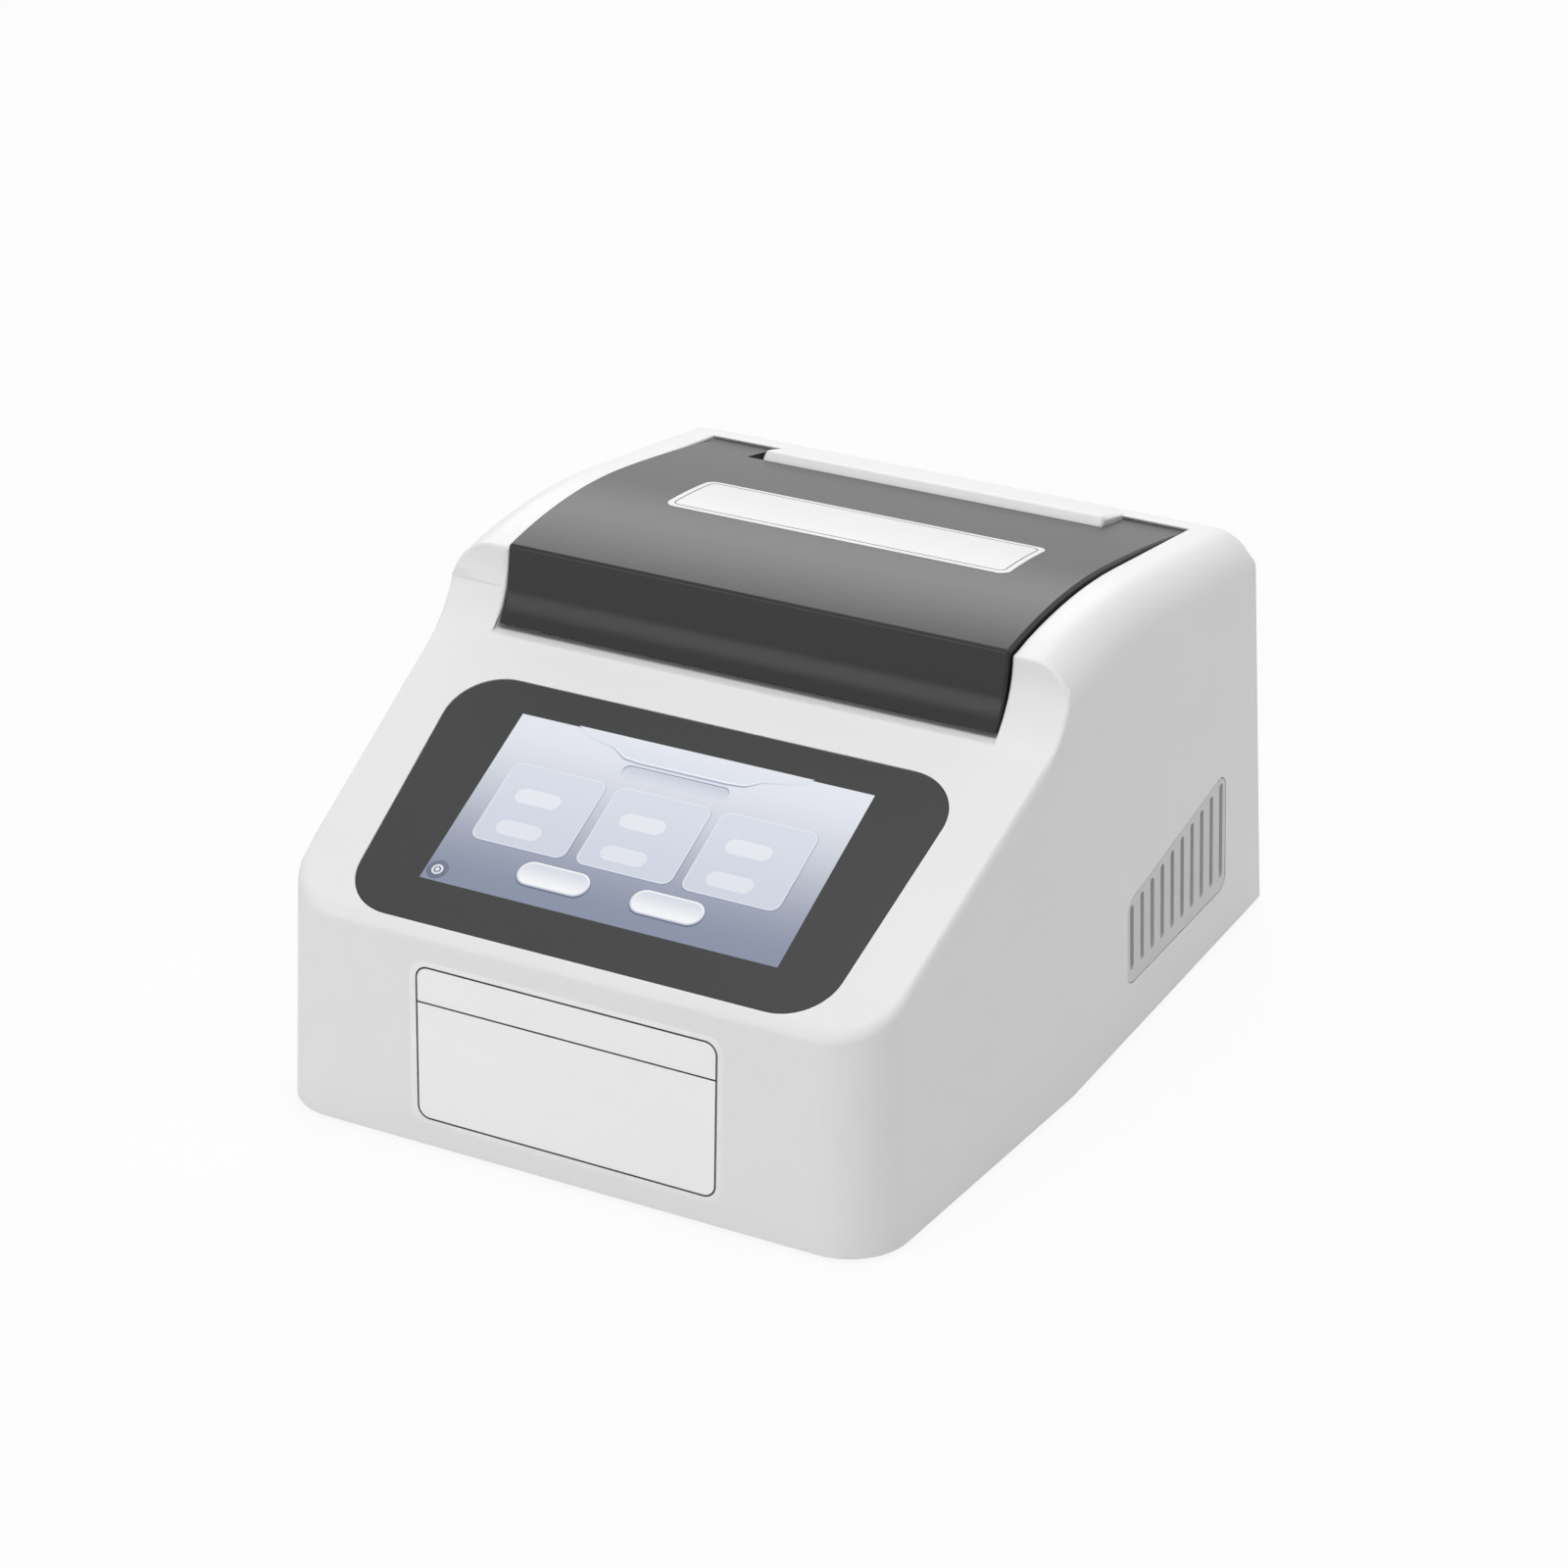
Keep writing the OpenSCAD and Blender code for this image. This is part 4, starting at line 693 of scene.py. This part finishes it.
def lid_notch():
    """Room in the lid for the hinge rail."""
    r = RAIL_R + RAIL_GAP
    over = arc_points(Vector((HINGE_D, HINGE_H)), r, math.pi, 0, 24)
    profile = [Vector((HINGE_D - r, LID_BOTTOM - 20))] + over + [Vector((HINGE_D + r, LID_BOTTOM - 20))]
    return across(profile, -NOTCH_HALF_W, NOTCH_HALF_W)


def lid_shell():
    bm = across(lid_profile(), -LID_HALF_W, LID_HALF_W)

    def round_over(e):
        a, b = (v.co for v in e.verts)
        on_side = abs(a.x) > LID_HALF_W - 0.1 and a.x * b.x > 0 and abs(a.x - b.x) < 0.1
        low = max(a.z, b.z) < LID_BOTTOM + 0.5 or min(a.y, b.y) > HINGE_D and min(a.z, b.z) < HINGE_H + 5
        brow = min(a.z, b.z) > LID_BOTTOM + 20 and max(a.y, b.y) < LID_BROW_D + 0.1 and abs(a.x - b.x) > 50
        return (on_side and not low and sharp(30)(e)) or brow

    soften(bm, round_over, LID_EDGE_R, 6)
    bm = combine(bm, [("DIFFERENCE", lid_room()), ("DIFFERENCE", lid_notch()),
                      ("DIFFERENCE", across(full_circle(LID_PIN_R, 32), -LID_PIN_REACH, LID_PIN_REACH))])
    bmesh.ops.dissolve_limit(bm, angle_limit=math.radians(0.2), verts=bm.verts[:], edges=bm.edges[:])
    bm.normal_update()
    weight = bm.edges.layers.float.new("bevel_weight_edge")
    for e in bm.edges:
        if not e.is_manifold or e.calc_face_angle_signed(0) < math.radians(35):
            continue
        outside = all(abs(v.co.x) > LID_HALF_W - LID_WALL + 0.05 or v.co.z > LID_BOTTOM + 12
                      or v.co.y < LID_FOOT_D + 2 for v in e.verts)
        e[weight] = 1.0 if outside and e.calc_length() > 0.4 else 0.0
    bm = modified(bm, "BEVEL", limit_method="WEIGHT", width=LID_RIM_R, segments=2, profile=0.5,
                  use_clamp_overlap=True)
    return weighted(piece("lid_shell", bm, LID, "lid", ["lid_cover"], crease=32))


lid_shell()


# Touch panel and screen

SCREEN_FOOT = SCREEN_MID - SCREEN_H / 2
SCREEN_HEAD = SCREEN_MID + SCREEN_H / 2
HEADER_RADII = [0, 6, 5, 5, 4, 4, 5, 5, 6, 0]


def slope_row_y(s):
    """Row coordinate of a place this far up the control slope, in metres."""
    return (RIDGE.x + s * math.cos(SLOPE) - BODY_D / 2) / 1000


def glow_material(name, low_tone, high_tone, low_s, high_s, level=0.92):
    """A lit area of the screen: its tone runs up the slope, with the faint weave of the pixels."""
    mat, tree, shader = new_material(name)
    coords = tree.nodes.new("ShaderNodeTexCoord")
    split = tree.nodes.new("ShaderNodeSeparateXYZ")
    run = tree.nodes.new("ShaderNodeMapRange")
    run.inputs["From Min"].default_value = slope_row_y(low_s)
    run.inputs["From Max"].default_value = slope_row_y(high_s)
    ramp = tree.nodes.new("ShaderNodeValToRGB")
    ramp.color_ramp.interpolation = "EASE"
    ramp.color_ramp.elements[0].color = (*low_tone, 1)
    ramp.color_ramp.elements[1].color = (*high_tone, 1)
    weave = tree.nodes.new("ShaderNodeTexWave")
    weave.inputs["Scale"].default_value = 900
    weave.bands_direction = "X"
    fade = tree.nodes.new("ShaderNodeMapRange")
    fade.inputs["To Min"].default_value = level * 0.985
    fade.inputs["To Max"].default_value = level
    tree.links.new(coords.outputs["Object"], split.inputs[0])
    tree.links.new(coords.outputs["Object"], weave.inputs["Vector"])
    tree.links.new(split.outputs["Y"], run.inputs["Value"])
    tree.links.new(run.outputs["Result"], ramp.inputs["Fac"])
    tree.links.new(weave.outputs["Fac"], fade.inputs["Value"])
    tree.links.new(ramp.outputs["Color"], shader.inputs["Emission Color"])
    tree.links.new(fade.outputs["Result"], shader.inputs["Emission Strength"])
    shader.inputs["Base Color"].default_value = (0.01, 0.01, 0.012, 1)
    shader.inputs["Roughness"].default_value = 0.35
    shader.inputs["Specular IOR Level"].default_value = 0.2
    return mat


def srgb(value):
    """A tone written as six hex digits, in linear light."""
    parts = [int(value[i:i + 2], 16) / 255 for i in (0, 2, 4)]
    return tuple(c / 12.92 if c <= 0.04045 else ((c + 0.055) / 1.055) ** 2.4 for c in parts)


def slope_film(name, outline, layer, tone, t=0.02):
    """A lit film of the screen; each layer lies a step above the one before."""
    w = -0.24 + FILM_STEP * layer
    return piece(name, on_slope(outline, w - t, w), tone, "base", crease=40)


def pill(x, s, w, h, count=10):
    """A field with fully round ends."""
    return rectangle(w, h, min(w, h) / 2 - 0.01, (x, s), count)


def touch_panel():
    window = rectangle(SCREEN_W + 0.4, SCREEN_H + 0.4, 0, (0, SCREEN_MID))
    bm = combine(on_slope(bezel_outline(0), -0.2 - BEZEL_T, -0.2), [("DIFFERENCE", on_slope(window, -8, 4))])
    slope_up = Vector((0, -math.sin(SLOPE), math.cos(SLOPE)))
    front = max(v.co.dot(slope_up) for v in bm.verts)
    outer = [v for v in bm.verts if v.co.dot(slope_up) > front - 0.01]
    soften(bm, lambda e: e.verts[0] in outer and e.verts[1] in outer and sharp(60)(e), 0.35, 3)
    return weighted(piece("touch_glass", bm, GLASS_GREY, "base", ["touch_bezel"], crease=50))


def screen_field():
    """The lit field, with a header tab that hangs from its upper edge."""
    lit = glow_material("screen_field_glow", srgb("8A92A8"), srgb("E9ECF4"), SCREEN_FOOT, SCREEN_HEAD)
    field = rectangle(SCREEN_W + 0.3, SCREEN_H + 0.3, 0, (0, SCREEN_MID))
    slope_film("screen_field", field, 0, lit, 0.5)
    half = [Vector((52, SCREEN_HEAD)), Vector((44.5, 107.3)), Vector((33, 105.2)), Vector((26.5, 101.2)),
            Vector((19, 100.5))]
    shade = glow_material("header_shade_glow", srgb("A9B1C4"), srgb("E2E6EF"), 99, 108)
    bright = glow_material("header_glow", srgb("F7F9FD"), srgb("E6EAF3"), 100, 108)
    for name, drop, tone, layer in (("header_shade", 0.9, shade, 1), ("header_rim", 0.0, bright, 2)):
        lower = [p - Vector((0, drop if p.y < 111 else 0)) for p in half]
        line = lower + [Vector((-p.x, p.y)) for p in reversed(lower)]
        slope_film(name, rounded(line, HEADER_RADII, 6), layer, tone)
    inner = glow_material("header_fill_glow", srgb("E3E7F1"), srgb("E9ECF4"), 100, 112)
    lifted = [p + Vector((-0.2, 0.7 if p.y < 111 else 0)) for p in half]
    line = lifted + [Vector((-p.x, p.y)) for p in reversed(lifted)]
    slope_film("header_fill", rounded(line, HEADER_RADII, 6), 3, inner)
    groove = glow_material("status_groove_glow", srgb("D8DDE8"), srgb("9AA3B7"), 93, 98)
    sunk = glow_material("status_glow", srgb("DDE1EB"), srgb("CFD5E1"), 92, 98)
    slope_film("status_groove", rectangle(46.5, 6.8, 3.0, (-1.2, 95.2), 8), 1, groove)
    slope_film("status_field", rectangle(45.9, 6.2, 2.8, (-1.0, 94.9), 8), 2, sunk)


def screen_cards():
    """Three cards with two value fields each; the fields are left blank."""
    shade = glow_material("card_shade_glow", srgb("959EB3"), srgb("BFC6D5"), 46, 88)
    rim = glow_material("card_rim_glow", srgb("E4E8F1"), srgb("E9ECF4"), 46, 88)
    fill = glow_material("card_fill_glow", srgb("D3D9E6"), srgb("DCE1EC"), 46, 88)
    value = glow_material("value_glow", srgb("E7E9F2"), srgb("ECEEF6"), 52, 78)
    for n, x in enumerate(CARD_PLACES):
        card = (x, CARD_MID)
        cast = rectangle(CARD_W + 1.7, CARD_H + 1.6, CARD_R + 0.6, (x + 0.3, CARD_MID - 0.4), 8)
        slope_film("card_%d_shade" % n, cast, 1, shade)
        slope_film("card_%d_rim" % n, rectangle(CARD_W + 1, CARD_H + 1, CARD_R + 0.4, card, 8), 2, rim)
        slope_film("card_%d_fill" % n, rectangle(CARD_W, CARD_H, CARD_R, card, 8), 3, fill)
        for m, s in enumerate(VALUE_ROWS):
            slope_film("card_%d_value_%d" % (n, m), pill(x + VALUE_SHIFT, s, VALUE_W, VALUE_H), 4, value)


def screen_buttons():
    """Two raised buttons and the round icon at the lower left, all blank."""
    cast = glow_material("button_cast_glow", srgb("6C758B"), srgb("8C94A8"), 31, 44)
    rim = glow_material("button_rim_glow", srgb("C9CFDC"), srgb("FFFFFF"), 32, 44)
    face = glow_material("button_face_glow", srgb("FBFCFE"), srgb("DDE1EB"), 33, 44)
    for n, x in enumerate(BUTTON_PLACES):
        below = pill(x + 0.3, BUTTON_MID - 0.7, BUTTON_W + 0.8, BUTTON_H + 0.4)
        slope_film("button_%d_cast" % n, below, 1, cast)
        slope_film("button_%d_rim" % n, pill(x, BUTTON_MID, BUTTON_W, BUTTON_H), 2, rim)
        slope_film("button_%d_face" % n, pill(x, BUTTON_MID, BUTTON_W - 1.4, BUTTON_H - 1.4), 3, face)
    dark = glow_material("icon_dark_glow", srgb("6B7387"), srgb("747C90"), 25, 34)
    pale = glow_material("icon_pale_glow", srgb("DDE1EA"), srgb("EEF0F5"), 25, 34)
    for n, (r, tone) in enumerate(((4.5, dark), (2.4, pale), (1.5, dark), (0.9, pale))):
        slope_film("icon_ring_%d" % n, pill(*ICON_PLACE, 2 * r, 2 * r, 8), 1 + n, tone)


touch_panel()
screen_field()
screen_cards()
screen_buttons()


# Blank labels

LABEL = finish_material("label_film", (0.95, 0.95, 0.95), 0.34, mottling=0.006, grain=1400, grain_height=1e-6)
LABEL_MARGIN = finish_material("label_margin", (0.90, 0.90, 0.90), 0.30, mottling=0.006, grain=1400,
                               grain_height=1e-6)
LID_LABEL = finish_material("lid_label_film", (0.76, 0.76, 0.76), 0.40, mottling=0.006, grain=1400,
                            grain_height=1e-6)
INK = finish_material("label_ink", (0.012, 0.012, 0.013), 0.5, mottling=0.1, grain=1800, grain_height=4e-6)


def frame_line(w, h, r, line, centre):
    """Outer and inner outline of a printed frame."""
    return rectangle(w, h, r, centre, 10), rectangle(w - 2 * line, h - 2 * line, r - line, centre, 10)


def wall_film(outline, low, high):
    """A film on the leaning front wall, between two heights over it."""
    bm = upright(outline, low, high)
    stand = Matrix.Rotation(math.pi / 2 - LEAN_TURN, 4, "X")
    bmesh.ops.transform(bm, matrix=stand, verts=bm.verts[:])
    return bm


def front_label():
    """The note label on the front wall: film, printed frame and header rule, with nothing written on it."""
    mid = FRONT_LABEL_MID
    film = wall_film(rectangle(FRONT_LABEL_W, FRONT_LABEL_H, 7.0, mid, 10), 0.0, 0.08)
    soften(film, lambda e: sharp(80)(e) and min(-v.co.y + 0.0384 * v.co.z for v in e.verts) > 0.06, 0.04, 2)
    piece("front_label_margin", film, LABEL_MARGIN, "base")
    outer, inner = frame_line(FRONT_LABEL_W - 5.6, FRONT_LABEL_H - 4.2, 5.4, 0.75, mid)
    ring = combine(wall_film(outer, 0.02, 0.12), [("DIFFERENCE", wall_film(inner, -1, 1))])
    piece("front_label_frame", ring, INK, "base")
    piece("front_label_face", wall_film(inner, 0.02, 0.10), LABEL, "base")
    rule = rectangle(FRONT_LABEL_W - 6.8, 0.7, 0, (mid[0], FRONT_RULE_H))
    piece("front_label_rule", wall_film(rule, 0.02, 0.12), INK, "base")


def on_lid(outline, low, high):
    """A film that follows the lid's domed top, between two heights over it; it is cut every few millimetres."""
    bm = upright(outline, low, high)
    y = min(v.co.y for v in bm.verts) + 2
    while y < max(v.co.y for v in bm.verts) - 1:
        bmesh.ops.bisect_plane(bm, geom=bm.verts[:] + bm.edges[:] + bm.faces[:], dist=1e-4, plane_co=(0, y, 0),
                               plane_no=(0, 1, 0))
        y += 3
    for v in bm.verts:
        v.co.z += lid_top(v.co.y)
    return bm


def lid_label():
    """The long label on the lid: film and a fine printed frame."""
    mid = LID_LABEL_MID
    film = on_lid(rectangle(LID_LABEL_W, LID_LABEL_L, 4.6, mid, 10), -0.1, 0.08)
    piece("lid_label_film", film, LID_LABEL, "lid")
    outer, inner = frame_line(LID_LABEL_W - 4.8, LID_LABEL_L - 4.8, 3.0, 0.5, mid)
    bm = on_lid(outer, 0.02, 0.11)
    ring = combine(bm, [("DIFFERENCE", upright(inner, 150, 220))])
    piece("lid_label_frame", ring, INK, "lid")


front_label()
lid_label()


# Side vents

def slot_outline(y, low, high):
    top = arc_points(Vector((y, high)), SLOT_W / 2, 0, math.pi, 8)
    bottom = arc_points(Vector((y, low)), SLOT_W / 2, math.pi, 2 * math.pi, 8)
    return top + bottom


def vent_grille(side):
    """Louvre plate with ten slots whose rims are rounded, leaning with the wall."""
    first = VENT_FROM + (VENT_LEN - SLOT_PITCH * (SLOT_COUNT - 1)) / 2
    steps = [("UNION", across(vent_outline(3.0), -WALL - 1.6, -WALL + 0.2))]
    for i in range(SLOT_COUNT):
        y = first + i * SLOT_PITCH
        top = VENT_LOW + VENT_FRONT_H + (VENT_REAR_H - VENT_FRONT_H) * (y - VENT_FROM) / VENT_LEN
        slot = slot_outline(y, VENT_LOW + 6 + SLOT_W / 2, top - 3 - SLOT_W / 2)
        steps.append(("DIFFERENCE", across(slot, -WALL - 5, 3)))
    bm = combine(across(vent_outline(-0.3), -WALL, -0.3), steps)
    soften(bm, lambda e: all(v.co.x > -0.35 for v in e.verts) and sharp(60)(e), SLOT_EDGE_R, 3)
    lean = Matrix.Translation((BODY_W / 2, 0, 0)) @ Matrix.Rotation(-LEAN_TURN, 4, "Y")
    if side < 0:
        lean = Matrix.Diagonal((-1, 1, 1, 1)) @ lean
    bmesh.ops.transform(bm, matrix=lean, verts=bm.verts[:])
    bmesh.ops.recalc_face_normals(bm, faces=bm.faces[:])
    name = "vent_grille_right" if side > 0 else "vent_grille_left"
    louvre = piece(name.replace("grille", "louvre"), bm, GRILLE, "base", [name], crease=40)
    return weighted(louvre)


vent_grille(1)
vent_grille(-1)


# Camera, light and floor

CAMERA_PLACE = (0.73795, -1.38613, 0.86792)
CAMERA_AZIMUTH = math.radians(27.9256)
CAMERA_HEIGHT_ANGLE = math.radians(26.1554)
CAMERA_LENS = 100.164
SENSOR = 36.0


def photo_camera():
    """The photograph's camera: a long lens without shift."""
    az, el = CAMERA_AZIMUTH, CAMERA_HEIGHT_ANGLE
    back = Vector((math.sin(az) * math.cos(el), -math.cos(az) * math.cos(el), math.sin(el)))
    right = Vector((math.cos(az), math.sin(az), 0))
    up = Vector((-math.sin(az) * math.sin(el), math.cos(az) * math.sin(el), math.cos(el)))
    data = bpy.data.cameras.new("photo_camera")
    data.sensor_width = SENSOR
    data.lens = CAMERA_LENS
    data.clip_end = 20
    cam = bpy.data.objects.new("photo_camera", data)
    turn = Matrix((right, up, back)).transposed().to_4x4()
    cam.matrix_world = Matrix.Translation(CAMERA_PLACE) @ turn
    bpy.context.scene.collection.objects.link(cam)
    bpy.context.scene.camera = cam


def soft_box(name, place, aim, size, power):
    """A rectangular lamp in metres and watts, turned to its aim."""
    data = bpy.data.lights.new(name, "AREA")
    data.shape = "RECTANGLE"
    data.size, data.size_y = size
    data.energy = power
    obj = bpy.data.objects.new(name, data)
    obj.location = place
    obj.rotation_euler = (Vector(aim) - Vector(place)).to_track_quat("-Z", "Y").to_euler()
    bpy.context.scene.collection.objects.link(obj)


def white_for_camera(tree, share=1.0):
    """How much of plain white a ray meets: the given share for camera, mirror and see-through rays."""
    rays = tree.nodes.new("ShaderNodeLightPath")
    first = tree.nodes.new("ShaderNodeMath")
    first.operation = "MAXIMUM"
    second = tree.nodes.new("ShaderNodeMath")
    second.operation = "MAXIMUM"
    tree.links.new(rays.outputs["Is Camera Ray"], first.inputs[0])
    tree.links.new(rays.outputs["Is Glossy Ray"], first.inputs[1])
    tree.links.new(first.outputs[0], second.inputs[0])
    tree.links.new(rays.outputs["Is Transmission Ray"], second.inputs[1])
    amount = tree.nodes.new("ShaderNodeMath")
    amount.operation = "MULTIPLY"
    amount.inputs[1].default_value = share
    tree.links.new(second.outputs[0], amount.inputs[0])
    return amount.outputs[0]


def studio():
    scene = bpy.context.scene
    scene.view_settings.view_transform = "Standard"
    world = bpy.data.worlds.new("studio")
    scene.world = world
    world.use_nodes = True
    tree = world.node_tree
    tree.nodes.clear()
    out = tree.nodes.new("ShaderNodeOutputWorld")
    mix = tree.nodes.new("ShaderNodeMixShader")
    room = tree.nodes.new("ShaderNodeBackground")
    room.inputs["Color"].default_value = (1, 1, 1, 1)
    room.inputs["Strength"].default_value = 0.36
    white = tree.nodes.new("ShaderNodeBackground")
    white.inputs["Color"].default_value = (1, 1, 1, 1)
    white.inputs["Strength"].default_value = 1.0
    tree.links.new(white_for_camera(tree), mix.inputs["Fac"])
    tree.links.new(room.outputs[0], mix.inputs[1])
    tree.links.new(white.outputs[0], mix.inputs[2])
    tree.links.new(mix.outputs[0], out.inputs["Surface"])

    bm = bmesh.new()
    bmesh.ops.create_grid(bm, x_segments=1, y_segments=1, size=6.0)
    mesh = bpy.data.meshes.new("floor")
    bm.to_mesh(mesh)
    bm.free()
    floor = bpy.data.objects.new("floor", mesh)
    scene.collection.objects.link(floor)
    mat, tree, shader = new_material("pale_floor")
    shader.inputs["Base Color"].default_value = (0.86, 0.86, 0.86, 1)
    shader.inputs["Roughness"].default_value = 0.9
    shader.inputs["Specular IOR Level"].default_value = 0.1
    glow = tree.nodes.new("ShaderNodeEmission")
    glow.inputs["Strength"].default_value = 1.0
    mix = tree.nodes.new("ShaderNodeMixShader")
    tree.links.new(white_for_camera(tree, 0.9), mix.inputs["Fac"])
    tree.links.new(shader.outputs[0], mix.inputs[1])
    tree.links.new(glow.outputs[0], mix.inputs[2])
    tree.links.new(mix.outputs[0], tree.nodes["Material Output"].inputs["Surface"])
    mesh.materials.append(mat)

    soft_box("overhead", (0.3, -0.1, 1.85), (0, 0, 0.1), (1.5, 1.5), 17.5)
    soft_box("front_left", (-0.7, -1.95, 0.7), (0, 0, 0.1), (1.4, 1.2), 11)
    soft_box("rear", (-0.85, 1.6, 1.25), (0, 0, 0.15), (1.5, 0.8), 11)


photo_camera()
studio()
